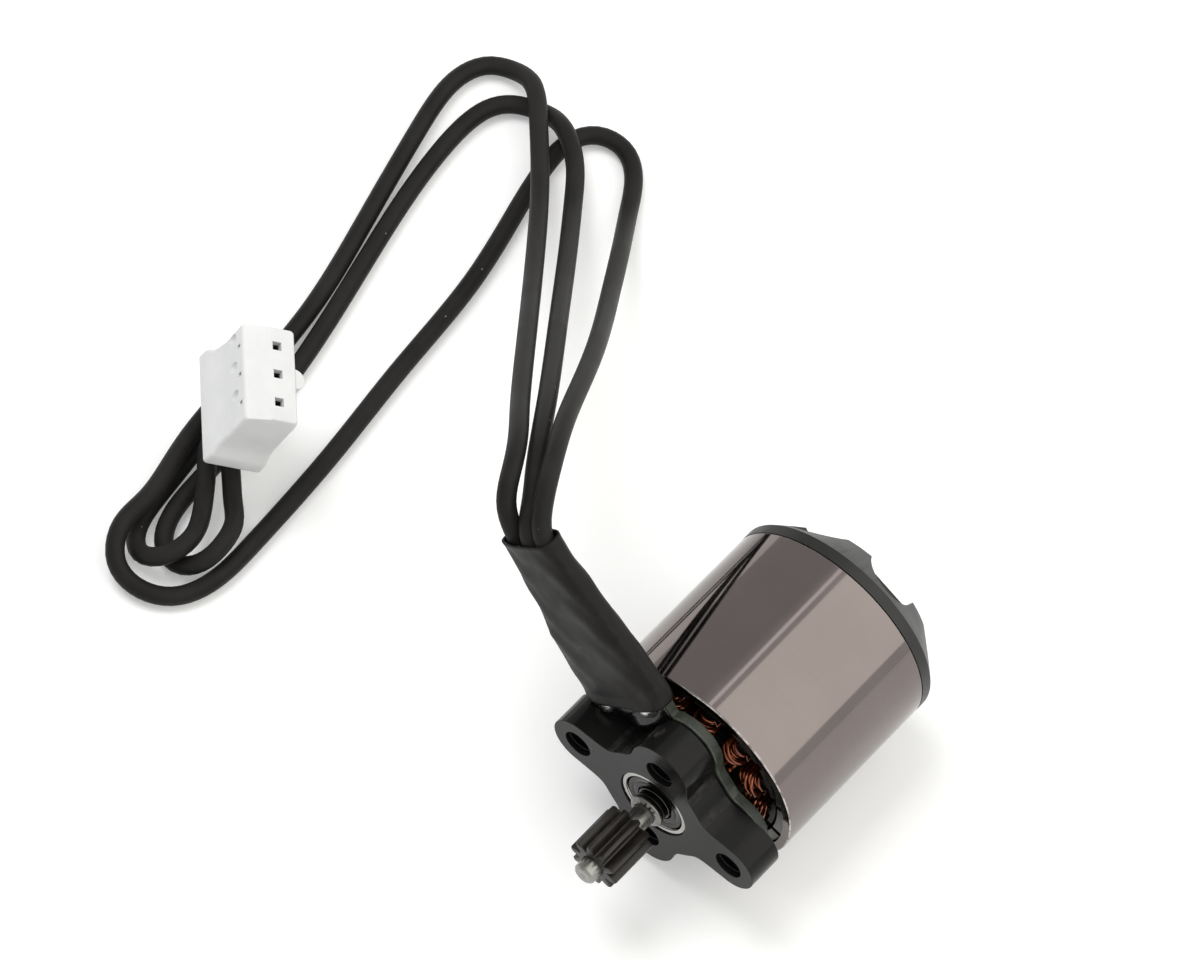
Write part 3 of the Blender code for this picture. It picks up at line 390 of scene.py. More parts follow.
def softCorners(points, closed):
    # each point is station, radius and perhaps a rounding; such corners become short arcs with a support
    # point on either side
    mostShare, support, arcSteps = 0.42, 1.15, 5
    out = []
    count = len(points)
    for i, point in enumerate(points):
        corner = Vector(point[:2])
        if len(point) < 3 or (not closed and i in (0, count - 1)):
            out.append(corner)
            continue
        before = Vector(points[i - 1][:2]) - corner
        after = Vector(points[(i + 1) % count][:2]) - corner
        reach = min(point[2], mostShare * before.length, mostShare * after.length)
        before, after = before.normalized() * reach, after.normalized() * reach
        start, end = corner + before, corner + after
        out.append(corner + before * support)
        for step in range(arcSteps + 1):
            share = step / arcSteps
            out.append(start * (1 - share) ** 2 + corner * 2 * share * (1 - share) + end * share**2)
        out.append(corner + after * support)
    return out


def evenTurns(count):
    return [2 * pi * (i + 0.5) / count for i in range(count)]


def faceRows(shape, rows, wrap=True):  # faces between neighbouring rows of corners
    for here, after in zip(rows[:-1], rows[1:]):
        for j in range(len(here) - (not wrap)):
            k = (j + 1) % len(here)
            corners = list(dict.fromkeys((here[j], here[k], after[k], after[j])))
            if len(corners) > 2:
                shape.faces.new(corners)


def turned(points, count, where=onShaft):
    shape = bmesh.new()
    closed = points[0][1] > 0  # a profile that starts on the shaft's axis also ends there
    rows = []
    for station, radius in softCorners(points, closed):
        if radius < tiny:
            rows.append([shape.verts.new((0, station, 0))] * count)
            continue
        spots = [(radius * cos(a), station, radius * sin(a)) for a in evenTurns(count)]
        rows.append([shape.verts.new(spot) for spot in spots])
    faceRows(shape, rows + rows[:1] if closed else rows)
    return toMesh(shape, where)


def flatPlate(loops, front, back):
    shape = bmesh.new()
    edges = []
    for loop in loops:
        corners = [shape.verts.new((x, front, z)) for x, z in loop]
        edges += [shape.edges.new((corners[i - 1], corners[i])) for i in range(len(corners))]
    bmesh.ops.triangle_fill(shape, use_beauty=True, edges=edges)
    bmesh.ops.dissolve_limit(shape, angle_limit=0.01, verts=shape.verts, edges=shape.edges)
    grown = bmesh.ops.extrude_face_region(shape, geom=shape.faces[:])
    moved = [part for part in grown["geom"] if isinstance(part, bmesh.types.BMVert)]
    bmesh.ops.translate(shape, vec=(0, back - front, 0), verts=moved)
    return toMesh(shape, unmoved)


def blocks(sizes, where=unmoved):
    shape = bmesh.new()
    for low, high in sizes:
        low, high = Vector(low), Vector(high)
        spot = Matrix.Translation((low + high) / 2) @ Matrix.Diagonal((*(high - low), 1))
        bmesh.ops.create_cube(shape, size=1, matrix=spot)
    mesh = toMesh(shape, where)
    mesh.shade_flat()
    return mesh


def addRod(shape, segments, radius, depth, matrix):
    bmesh.ops.create_cone(shape, cap_ends=True, segments=segments, radius1=radius, radius2=radius,
                          depth=depth, matrix=matrix)


def ringLoop(x, z, radius, count=48):
    return [(x + radius * cos(a), z + radius * sin(a)) for a in evenTurns(count)]


# Geometry Nodes helpers

def newTree(name, inputs):
    tree = bpy.data.node_groups.new(name, "GeometryNodeTree")
    tree.interface.new_socket("Geometry", in_out="INPUT", socket_type="NodeSocketGeometry")
    tree.interface.new_socket("Geometry", in_out="OUTPUT", socket_type="NodeSocketGeometry")
    for label, kind in inputs.items():
        tree.interface.new_socket(label, in_out="INPUT", socket_type="NodeSocket" + kind)
    return tree, addNode(tree, "NodeGroupInput").outputs, addNode(tree, "NodeGroupOutput").inputs


def tubeAlong(tree, line, sides, radius):
    section = outOf(tree, "GeometryNodeCurvePrimitiveCircle", {"Resolution": sides, "Radius": radius})
    inputs = {"Curve": line, "Profile Curve": section, "Fill Caps": True}
    return outOf(tree, "GeometryNodeCurveToMesh", inputs)


def copyOnto(tree, points, shape, rotation):
    inputs = {"Points": points, "Instance": shape, "Rotation": rotation}
    return outOf(tree, "GeometryNodeInstanceOnPoints", inputs)


def copyRound(tree, shape, count):  # evenly round the shaft
    spots = outOf(tree, "GeometryNodePoints", {"Count": count, "Position": (0, 0, 0)})
    share = doMath(tree, "DIVIDE", outOf(tree, "GeometryNodeInputIndex"), count)
    spin = outOf(tree, "ShaderNodeCombineXYZ", {"Y": doMath(tree, "MULTIPLY", share, -2 * pi)})
    return copyOnto(tree, spots, shape, spin)


def closeTree(tree, geometry, out, finish):
    real = outOf(tree, "GeometryNodeRealizeInstances", {0: geometry})
    dressed = outOf(tree, "GeometryNodeSetMaterial", {"Geometry": real, "Material": finishes[finish]})
    tree.links.new(dressed, out["Geometry"])


def runTree(mesh, tree, values):
    work = addObject("work", mesh)
    step = work.modifiers.new("nodes", "NODES")
    step.node_group = tree
    names = {item.name: item.identifier for item in tree.interface.items_tree if item.in_out == "INPUT"}
    for label, value in values.items():
        step[names[label]] = value
    result = evaluated(work, onShaft)
    bpy.data.objects.remove(work)
    result.shade_smooth()
    return result


# camera, from the photograph's view; lengths in mm, the picture in pixels

camera = dict(azimuth=31.5, elevation=60.67, roll=10.35, distance=430.0, aim=(0.0, 3.795, 7.491),
              aimPixel=(761.63, 693.61), focalPixels=7021.9, picture=(1200, 960), sensor=36.0)


def makeCamera(azimuth, elevation, roll, distance, aim, aimPixel, focalPixels, picture, sensor):
    az, el, turn = (radians(angle) for angle in (azimuth, elevation, roll))
    back = Vector((sin(az) * cos(el), -cos(az) * cos(el), sin(el)))
    level = Vector((cos(az), sin(az), 0))
    rise = back.cross(level)
    right = level * cos(turn) + rise * sin(turn)
    up = back.cross(right)
    shift = right * (aimPixel[0] - picture[0] / 2) - up * (aimPixel[1] - picture[1] / 2)
    eye = Vector(aim) + back * distance - shift * distance / focalPixels
    data = bpy.data.cameras.new("photoView")
    data.sensor_width, data.sensor_fit = sensor, "HORIZONTAL"
    data.lens = sensor * focalPixels / picture[0]
    data.clip_start, data.clip_end = 0.01, 50.0
    view = addObject("photoView", data)
    view.matrix_world = Matrix.Translation(eye * mm) @ Matrix((right, up, back)).transposed().to_4x4()
    bpy.context.scene.camera = view
    print("camera eye, mm:", [round(part, 2) for part in eye])


makeCamera(**camera)


# leads: the routes are the part's own, in millimetres, from the board's tab to the plug

tabAngle = 136.0  # which way the board's tab points, in degrees round the shaft
sleeve = dict(start=7.12, length=11.8, station=2.75, wall=0.15, over=(0.45, 0.8), flare=0.3, dip=0.15,
              dent=(0.05, 1.9, 2.1), pucker=(2.2, 0.7), lip=(0.05, 0.25), square=(0.55, 0.72), grid=(80, 84),
              shape=((0.0, 3.8, 3.85, 2.2), (1.7, 3.75, 3.78, 2.2), (4.4, 3.68, 3.36, 2.15),
                     (4.9, 3.4, 3.28, 2.1), (5.5, 3.22, 3.2, 2.05), (8.0, 2.86, 2.84, 1.95),
                     (11.8, 2.35, 2.35, 1.9)))
plug = dict(rear=(-37.6, -2.7, 4.7), lift=67.5, heading=-46.0, pitch=2.0)
leads = dict(diameter=1.24, rootPitch=2.1, mouthPitch=1.42, inset=0.3, shares=(0, 0.5, 0.75, 1),
             depths=(-0.5, 0.3, 0.9), lengths=(0.124, 0.117, 0.1268), places=(-1, 0, 1), holes=(0, 1, -1),
             steps=260, routes=(
    ((-16.0, -3.3, 21.3), (-17.2, -1.4, 21.7), (-18.5, 0.7, 21.0), (-20.4, 3.3, 19.0),
     (-23.9, 8.3, 14.9), (-27.6, 13.7, 10.2), (-31.5, 19.3, 5.8), (-35.6, 24.8, 2.8),
     (-38.6, 28.2, 2.3), (-40.6, 30.1, 2.1), (-42.6, 30.8, 1.0), (-44.4, 30.0, 0.7),
     (-45.2, 27.6, 0.7), (-44.5, 23.4, 0.7), (-42.4, 15.7, 0.7), (-40.5, 8.0, 0.7),
     (-39.6, 0.1, 0.7), (-38.7, -6.6, 0.7), (-38.3, -9.4, 0.7), (-37.6, -11.4, 0.9),
     (-36.2, -12.5, 1.5), (-34.9, -11.9, 2.1), (-34.4, -10.2, 2.3), (-35.0, -8.4, 1.9),
     (-36.0, -6.9, 2.0), (-37.1, -5.5, 2.2), (-38.0, -4.2, 2.7)),
    ((-15.0, -2.1, 21.0), (-16.4, -0.1, 21.0), (-19.2, 4.3, 18.9), (-22.5, 9.4, 14.8),
     (-25.8, 14.4, 10.6), (-29.5, 20.0, 6.0), (-33.2, 25.4, 2.5), (-35.1, 27.7, 2.2),
     (-37.2, 29.1, 2.0), (-39.2, 29.7, 0.9), (-41.1, 29.0, 0.7), (-42.3, 27.2, 0.7),
     (-42.3, 22.6, 0.7), (-41.1, 16.3, 0.7), (-39.2, 8.6, 0.7), (-37.8, 0.8, 0.7),
     (-37.3, -6.4, 0.7), (-36.9, -9.0, 0.7), (-35.9, -10.7, 0.7), (-34.3, -11.2, 0.8),
     (-33.0, -10.3, 1.6), (-32.8, -8.6, 2.1), (-33.4, -7.0, 1.9), (-34.5, -5.9, 1.8),
     (-35.7, -4.8, 2.6)),
    ((-14.1, -2.2, 22.2), (-15.3, -0.1, 22.2), (-17.1, 3.3, 20.8), (-19.4, 8.2, 17.2),
     (-22.0, 13.4, 12.7), (-25.2, 19.0, 7.7), (-28.3, 24.3, 3.3), (-30.4, 27.8, 1.1),
     (-32.0, 30.2, 0.7), (-33.8, 31.3, 0.7), (-35.7, 30.9, 0.7), (-36.7, 29.2, 0.7),
     (-36.6, 26.6, 0.7), (-35.9, 23.4, 0.7), (-34.4, 17.0, 0.7), (-33.5, 9.1, 0.7),
     (-32.5, 1.1, 0.7), (-31.9, -6.5, 0.7), (-31.9, -10.4, 0.7), (-32.8, -12.8, 0.7),
     (-34.6, -14.1, 0.9), (-36.9, -14.0, 1.4), (-38.2, -12.2, 2.3), (-38.4, -9.6, 2.2),
     (-39.0, -6.6, 2.1), (-39.5, -4.2, 2.1), (-39.5, -2.3, 2.9))))
inPlug = (Matrix.Translation(Vector(plug["rear"]) * mm)
          @ Matrix.Rotation(radians(plug["heading"]), 4, "Z")
          @ Matrix.Rotation(radians(plug["lift"]), 4, "X") @ Matrix.Scale(mm, 4))


def onTab(rho, across, station):  # out along the board's tab, to one side of it, and along the shaft
    turn = radians(tabAngle)
    return Vector((cos(turn) * rho + sin(turn) * across, station,
                   sin(turn) * rho - cos(turn) * across))


def smoothRun(points, steps, fineSteps=2000):  # a smooth curve through the points, evenly stepped
    route = np.array(points)
    step = np.sqrt(np.linalg.norm(np.diff(route, axis=0), axis=1))
    knots = np.concatenate(([0.0], np.cumsum(step)))
    count = len(route)
    system, right = np.eye(count), np.zeros((count, 3))
    for i in range(1, count - 1):
        system[i, i - 1:i + 2] = step[i - 1], 2 * (step[i - 1] + step[i]), step[i]
        right[i] = 6 * ((route[i + 1] - route[i]) / step[i] - (route[i] - route[i - 1]) / step[i - 1])
    bend = np.linalg.solve(system, right)
    fine = np.linspace(0, knots[-1], fineSteps)
    at = np.clip(np.searchsorted(knots, fine, side="right") - 1, 0, count - 2)
    width = step[at][:, None]
    before = (fine - knots[at])[:, None]
    after = width - before
    dense = (bend[at] * after**3 + bend[at + 1] * before**3) / (6 * width)
    dense += (route[at] / width - bend[at] * width / 6) * after
    dense += (route[at + 1] / width - bend[at + 1] * width / 6) * before
    far = np.concatenate(([0.0], np.cumsum(np.linalg.norm(np.diff(dense, axis=0), axis=1))))
    even = np.linspace(0, far[-1], steps)
    return np.stack([np.interp(even, far, dense[:, k]) for k in range(3)], axis=1)


def makeLeads(diameter, rootPitch, mouthPitch, inset, shares, depths, lengths, places, holes, steps, routes):
    made = []
    first = sleeve["start"] + inset
    mouth = sleeve["start"] + sleeve["length"]
    for number, (route, spot, hole, length) in enumerate(zip(routes, places, holes, lengths), 1):
        points = []
        for share in shares:  # inside the sleeve
            pitch = rootPitch + (mouthPitch - rootPitch) * share
            points.append(onShaft @ onTab(first + (mouth - first) * share, spot * pitch, sleeve["station"]))
        points += [Vector(point) * mm for point in route]
        points += [inPlug @ Vector((hole * plug["pitch"], depth, 0)) for depth in depths]
        run = smoothRun(points, steps)
        curve = bpy.data.curves.new(f"lead{number}", "CURVE")
        curve.dimensions, curve.bevel_depth, curve.bevel_resolution = "3D", diameter / 2 * mm, 6
        curve.use_fill_caps = True
        spline = curve.splines.new("POLY")
        spline.points.add(steps - 1)
        for target, point in zip(spline.points, run):
            target.co = (*point, 1)
        spline.use_smooth = True
        curve.materials.append(finishes["leadBlack"])
        lead = addObject(f"lead{number}", curve)
        settle(lead, "stator", "lead_insulation", f"lead_{number}")
        made.append((lead, run[0], length))
    return made


leadPieces = makeLeads(**leads)
print("leads laid:", len(leadPieces))


# can, with the profile as station, radius, rounding

can = dict(steps=288, profile=((4.0, 6.9, 0.06), (4.0, 7.5, 0.13), (16.7, 7.5, 0.05), (16.7, 6.9, 0.05)))
place("can", turned(can["profile"], can["steps"]), "canNickel", "rotor", "can_steel", "rotor_can")


# bell cap

bell = dict(front=16.76, rim=0.75, cone=2.15, radius=7.5, rearRadius=5.5, spigot=1.0, spigotRadius=6.87,
            spigotWall=0.55, inset=0.2, bore=0.78, bossRadius=1.71, bossFront=14.5, lobeInner=3.9, sunk=0.7,
            lobes=6, lobeAngle=37.0, valley=1.9, valleyPast=0.1, ventAt=5.0, ventWide=1.5, ventDeep=0.85,
            edge=0.07, steps=240, valleySteps=56, ventSteps=40)


def makeBell(front, rim, cone, radius, rearRadius, spigot, spigotRadius, spigotWall, inset, bore,
             bossRadius, bossFront, lobeInner, sunk, lobes, lobeAngle, valley, valleyPast, ventAt, ventWide,
             ventDeep, edge, steps, valleySteps, ventSteps):
    back = front + rim + cone
    inner = spigotRadius - spigotWall
    profile = [(bossFront, bore), (bossFront, bossRadius), (front + inset, bossRadius),
               (front + inset, inner), (front - spigot, inner), (front - spigot, spigotRadius),
               (front, spigotRadius), (front, radius), (front + rim, radius), (back, rearRadius),
               (back, lobeInner), (back - sunk, lobeInner - sunk), (back - sunk, bore)]
    long = radius - lobeInner + valley
    lying = (Matrix.Translation((lobeInner + long / 2, back + valleyPast, 0))
             @ Matrix.Rotation(pi / 2, 4, "Y"))
    oval = (Matrix.Translation((ventAt, back - cone, 0)) @ Matrix.Diagonal((ventDeep, 1, ventWide, 1))
            @ Matrix.Rotation(pi / 2, 4, "X"))
    valleys, vents = bmesh.new(), bmesh.new()
    for i in range(lobes):
        turn = Matrix.Rotation(-radians(lobeAngle) - (i + 0.5) * 2 * pi / lobes, 4, "Y")
        addRod(valleys, valleySteps, valley, long, turn @ lying)
        addRod(vents, ventSteps, 1, 2 * cone, turn @ oval)
    cuts = [toMesh(valleys, unmoved), toMesh(vents, unmoved)]
    mesh = applied(turned(profile, steps, unmoved), edge, cuts, segments=2, angle=32, sharp=10)
    place("bellCap", mesh, "bellCharcoal", "rotor", "bell_black", "bell_cap")


makeBell(**bell)


# mounting base with its carrier tube and screw threads

cross = dict(hub=4.13, longHalf=1.9, longHole=6.0, shortHalf=2.1, shortHole=4.0, pastHole=0.25, blend=10,
             steps=300)
base = dict(thick=2.5, holeRadius=0.97, seat=2.53, seatDeep=2.13, middle=1.58, carrier=2.6, carrierEnd=14.0,
            rearSeat=11.87, rearRadius=2.03, past=1.0, steps=96, edge=0.13)
screwSpots = [(-cross["longHole"], 0), (cross["longHole"], 0),
              (0, -cross["shortHole"]), (0, cross["shortHole"])]


def barReach(angle, half, tip):
    along, across = abs(cos(angle)), abs(sin(angle))
    if tip * across >= half * along:
        return half / across
    return tip * along + sqrt(half**2 - (tip * across) ** 2)


def crossOutline(margin=0.0, longTip=cross["longHole"], tab=None):  # hub and two bars, blended
    shortTip, blend, steps = cross["shortHole"] + cross["pastHole"], cross["blend"], cross["steps"]
    outline = []
    for i in range(steps):
        angle = 2 * pi * i / steps
        reaches = [cross["hub"] + margin, barReach(angle, cross["longHalf"] + margin, longTip),
                   barReach(angle - pi / 2, cross["shortHalf"] + margin, shortTip)]
        radius = sum(reach**blend for reach in reaches) ** (1 / blend)
        lean = angle - radians(tabAngle)
        if tab and cos(lean) > 0.01:
            reach, half = tab
            radius = max(radius, min(reach / cos(lean), half / max(abs(sin(lean)), tiny)))
        outline.append((radius * cos(angle), radius * sin(angle)))
    return outline


def makeBase(thick, holeRadius, seat, seatDeep, middle, carrier, carrierEnd, rearSeat, rearRadius, past,
             steps, edge):
    plate = flatPlate([crossOutline()] + [ringLoop(x, z, holeRadius) for x, z in screwSpots], 0, thick)
    tube = [(thick / 2, 0), (thick / 2, carrier), (carrierEnd, carrier), (carrierEnd, 0)]
    bore = [(-past, 0), (-past, seat), (seatDeep, seat), (seatDeep, middle), (rearSeat, middle),
            (rearSeat, rearRadius), (carrierEnd + past, rearRadius), (carrierEnd + past, 0)]
    mesh = applied(plate, edge, [turned(bore, steps, unmoved)], [turned(tube, steps, unmoved)])
    place("mountBase", mesh, "baseBlack", "stator", "base_black", "mount_base")


makeBase(**base)

thread = dict(pitch=0.4, ridge=0.09, radius=0.95, length=2.2, start=0.15, perTurn=28, sides=4)


def makeThreads(pitch, ridge, radius, length, start, perTurn, sides):
    sizes = {"Turns": length / pitch, "Radius": radius, "Length": length, "Ridge": ridge}
    tree, given, out = newTree("screwThread", {label: "Float" for label in sizes})
    inputs = {"Resolution": perTurn, "Rotations": given["Turns"], "Start Radius": given["Radius"],
              "End Radius": given["Radius"], "Height": given["Length"]}
    rib = tubeAlong(tree, outOf(tree, "GeometryNodeCurveSpiral", inputs), sides, given["Ridge"])
    closeTree(tree, copyOnto(tree, given["Geometry"], rib, (-pi / 2, 0, 0)), out, "baseBlack")
    dots = bpy.data.meshes.new("holeSpots")
    dots.from_pydata([(x, start, z) for x, z in screwSpots], [], [])
    place("screwThreads", runTree(dots, tree, sizes), "baseBlack", "stator", "base_black")


makeThreads(**thread)
print("can, bell and base made")


# bearing, the small rings and the shaft: finish, body, slot, the node it stands for, steps round, and the
# profile as station, radius, rounding

rings = dict(
    bearingOuterRing=("ringSteel", "stator", "bearing_steel", "front_bearing_outer", 144,
                      ((0.1, 2.2, 0.04), (0.1, 2.5, 0.07), (2.1, 2.5, 0.07), (2.1, 2.1, 0.05),
                       (0.42, 2.1, 0.03), (0.16, 2.2, 0.03))),
    # the inner ring's dark steel is painted shade
    bearingInnerRing=("ringSteelPaintedShade", "rotor", "bearing_steel", "front_bearing_inner", 96,
                      ((0.1, 0.78, 0.05), (0.1, 1.2, 0.07), (2.1, 1.2, 0.07), (2.1, 0.78, 0.05))),
    bearingShield=("blackShieldAndWasherShade", "stator", "bearing_shield", "front_shield", 144,
                   ((0.2, 1.32, 0.02), (0.2, 1.54, 0.05), (0.23, 1.66, 0.05), (0.2, 1.87, 0.05),
                    (0.2, 2.07, 0.02), (0.3, 2.07, 0.02), (0.3, 1.32, 0.02))),
    # the front washer takes the shield's black as painted shade
    frontWasher=("blackShieldAndWasherShade", "rotor", "spring_steel", "front_washer", 96,
                 ((-0.25, 0.78, 0.03), (-0.25, 1.1, 0.06), (0.05, 1.1, 0.06), (0.05, 0.78, 0.03))),
    retainingClip=("springSteel", "rotor", "spring_steel", "retaining_clip", 96,
                   ((-0.3, 0.78, 0.03), (-0.3, 1.08, 0.04), (-0.46, 1.2, 0.08), (-0.65, 1.2, 0.1),
                    (-0.85, 0.98, 0.06), (-0.85, 0.78, 0.03))),
    shaft=("shaftGround", "rotor", "shaft_steel", "shaft", 96,
           ((-6.41, 0), (-6.53, 0.22, 0.03), (-6.55, 0.27, 0.03), (-6.55, 0.59, 0.05), (-6.39, 0.75, 0.05),
            (19.3, 0.75, 0.05), (19.46, 0.59, 0.05), (19.46, 0))))
for ringName, (finish, body, slot, node, steps, profile) in rings.items():
    place(ringName, turned(profile, steps), finish, body, slot, node)


# pinion: one tooth, repeated round the shaft

pinion = dict(front=-5.6, length=3.5, teeth=10, module=0.3, bore=0.78, wall=0.08, chamfer=0.1, chamferTo=0.9,
              weld=0.002, sharp=38)


def toothSector(teeth, module, bore):
    pitchRadius = teeth * module / 2
    root, tip = pitchRadius - 1.25 * module, pitchRadius + module
    step = 2 * pi / teeth
    flank = [(root, 0.5), (root, 0.43), (root + 0.03, 0.38), (root + 0.12, 0.325), (pitchRadius - 0.1, 0.275),
             (pitchRadius, 0.24), (pitchRadius + 0.12, 0.19), (tip - 0.07, 0.135), (tip - 0.015, 0.1),
             (tip, 0.05)]  # radius, and the angle as a share of the tooth's step
    outer = [(r, -share * step) for r, share in flank] + [(r, share * step) for r, share in reversed(flank)]
    return outer, [(bore, angle) for _, angle in outer]


def makePinion(front, length, teeth, module, bore, wall, chamfer, chamferTo, weld, sharp):
    outer, inner = toothSector(teeth, module, bore)
    shape = bmesh.new()

    def addRow(station, spots):
        return [shape.verts.new((r * cos(a), station, r * sin(a))) for r, a in spots]

    slope = ((0.0, 1.0), (0.35, 0.35), (1.0, 0.0))  # the end's chamfer: share along it, share cut away
    near = [(front + chamfer * along, chamfer * away) for along, away in slope]
    far = [(front + length - chamfer * along, chamfer * away) for along, away in reversed(slope)]
    rows = []
    for station, shrink in near + far:
        cut = [(max(bore + wall, r - shrink * (r - bore) / chamferTo), a) for r, a in outer]
        rows.append(addRow(station, cut))
    ends = [addRow(station, inner) for station in (front, front + length)]
    faceRows(shape, [ends[0], *rows, ends[1], ends[0]], wrap=False)
    tree, given, out = newTree("pinionTeeth", {"Teeth": "Int"})
    copies = copyRound(tree, given["Geometry"], given["Teeth"])
    real = outOf(tree, "GeometryNodeRealizeInstances", {0: copies})
    whole = outOf(tree, "GeometryNodeMergeByDistance", {"Geometry": real, "Distance": weld})
    closeTree(tree, whole, out, "pinionDark")
    mesh = runTree(toMesh(shape, unmoved), tree, {"Teeth": teeth})
    mesh.set_sharp_from_angle(angle=radians(sharp))
    place("pinion", mesh, "pinionDark", "rotor", "pinion_steel", "pinion")


makePinion(**pinion)
print("bearing, shaft and pinion made")


# wiring board, solder joints and the glue round them

board = dict(front=2.6, back=3.3, margin=0.15, longReach=6.4, tabReach=7.02, tabHalf=3.3, bore=2.7, steps=72,
             edge=0.1)


def makeBoard(front, back, margin, longReach, tabReach, tabHalf, bore, steps, edge):
    longTip = longReach - cross["longHalf"] - margin
    loops = [crossOutline(margin, longTip, (tabReach, tabHalf)), ringLoop(0, 0, bore, steps)]
    mesh = applied(flatPlate(loops, front, back), edge)
    place("wiringBoard", mesh, "boardMask", "stator", "board", "wiring_board")


makeBoard(**board)

solder = dict(rho=6.17, pitch=2.1, station=2.12, size=(0.75, 0.45, 0.8), lump=0.05, waves=(3.1, 5.0, 2.6),
              drift=1.7)


def makeSolder(rho, pitch, station, size, lump, waves, drift):
    shaped = Matrix.Rotation(-radians(tabAngle), 4, "Y") @ Matrix.Diagonal((*size, 1))
    for i in range(3):
        shape = bmesh.new()
        bmesh.ops.create_icosphere(shape, subdivisions=4, radius=1)
        for vert in shape.verts:
            x, y, z = (wave * part for wave, part in zip(waves, vert.co))
            vert.co *= 1 - lump * (sin(x + drift * i) * cos(z + i) + 1 + cos(y + i))
        spot = Matrix.Translation(onTab(rho, (i - 1) * pitch, station)) @ shaped
        bmesh.ops.transform(shape, matrix=spot, verts=shape.verts)
        place(f"solderJoint{i + 1}", toMesh(shape), "solderGrey", "stator", "solder",
              f"solder_joint_{i + 1}")


makeSolder(**solder)

glue = dict(rho=(4.3, 7.1), half=3.35, front=1.88, back=2.58, bow=0.55, bowPower=2.5, crownPower=4, riseIn=4,
            riseOut=5, grid=(48, 24),
            ripples=((0.16, 5.1, 2.2, 0.0), (0.1, -3.7, 9.0, pi / 2)))  # height, waves across, along, shift


def makeGlue(rho, half, front, back, bow, bowPower, crownPower, riseIn, riseOut, grid, ripples):
    # gloss black fillet that beds the joints
    shape = bmesh.new()
    across, along = grid
    rows = []
    for i in range(along + 1):
        row = []
        for j in range(across + 1):
            u, v = 2 * j / across - 1, i / along
            near = rho[0] + bow * abs(u) ** bowPower
            crown = (1 - abs(u) ** crownPower) * sqrt(min(1.0, riseIn * v, riseOut * (1 - v)))
            ripple = sum(high * sin(a * u + b * v + shift) for high, a, b, shift in ripples)
            station = back - (back - front + ripple) * crown
            row.append(shape.verts.new(onTab(near + (rho[1] - near) * v, half * u, station)))
        rows.append(row)
    faceRows(shape, rows, wrap=False)
    rim = [edge for edge in shape.edges if edge.is_boundary]
    bmesh.ops.holes_fill(shape, edges=rim, sides=0)
    place("jointGlue", toMesh(shape), "glueBlack", "stator", "board")


makeGlue(**glue)
print("board, solder and glue made")


# windings: one wound tooth, repeated round the core; each layer has its first and last radius, turns,
# how far off the tooth's side and end, and how far the end turns bow out

winding = dict(teeth=12, wire=0.12, stackFront=4.5, stackBack=12.5, halfTooth=0.35, corner=0.24, perTurn=28,
               leg=0.2, uneven=(0.45, 2.4, 5.0), lean=0.1, sides=8,
               layers=((3.5, 5.35, 6, 0.15, 0.16, 0.2), (5.3, 4.5, 3, 0.42, 0.42, 0.34)),
               tailIn=((3.36, 3.42, -0.25), (3.4, 3.8, -0.42)),
               tailOut=((4.05, 3.9, -0.78), (4.3, 3.45, -0.7)))


def makeWindings(teeth, wire, stackFront, stackBack, halfTooth, corner, perTurn, leg, uneven, lean, sides,
                 layers, tailIn, tailOut):
    path = list(tailIn)
    middle = (stackFront + stackBack) / 2
    for start, stop, turns, clear, lift, bow in layers:
        side, reach = halfTooth + clear, (stackBack - stackFront) / 2 + lift - corner
        for i in range(turns * perTurn):
            half, run = divmod(2 * i / perTurn % 2, 1)  # out on one side of the tooth, back on the other
            sign = 2 * half - 1
            slack = 1 + uneven[0] * sin(uneven[1] * (i // perTurn) + uneven[2] * clear)  # turns differ
            at = start + (stop - start) * i / (turns * perTurn)
            if run < leg:
                y, z = reach * (1 - 2 * run / leg), side
            else:  # round the end
                sweep = (run - leg) / (1 - leg) * pi
                y, z = -reach - (corner + bow * slack) * sin(sweep), side * cos(sweep)
                at += half * lean * sin(sweep) * slack
            path.append((at, middle + sign * y, sign * z))
    path += tailOut
    mesh = bpy.data.meshes.new("oneTooth")
    mesh.from_pydata(path, [(i, i + 1) for i in range(len(path) - 1)], [])
    tree, given, out = newTree("woundTeeth", {"Teeth": "Int", "Wire Radius": "Float"})
    line = outOf(tree, "GeometryNodeMeshToCurve", {"Mesh": given["Geometry"]})
    tube = tubeAlong(tree, line, sides, given["Wire Radius"])
    closeTree(tree, copyRound(tree, tube, given["Teeth"]), out, "copperEnamel")
    result = runTree(mesh, tree, {"Teeth": teeth, "Wire Radius": wire})
    coils = [f"coil_{i + 1:02d}" for i in range(teeth)]
    place("windings", result, "copperEnamel", "stator", "copper_wire", *coils)
    print("windings:", len(result.polygons), "faces")


makeWindings(**winding)


# shrink sleeve: wide over the tab, a step, then drawn in round the leads to a thick open mouth

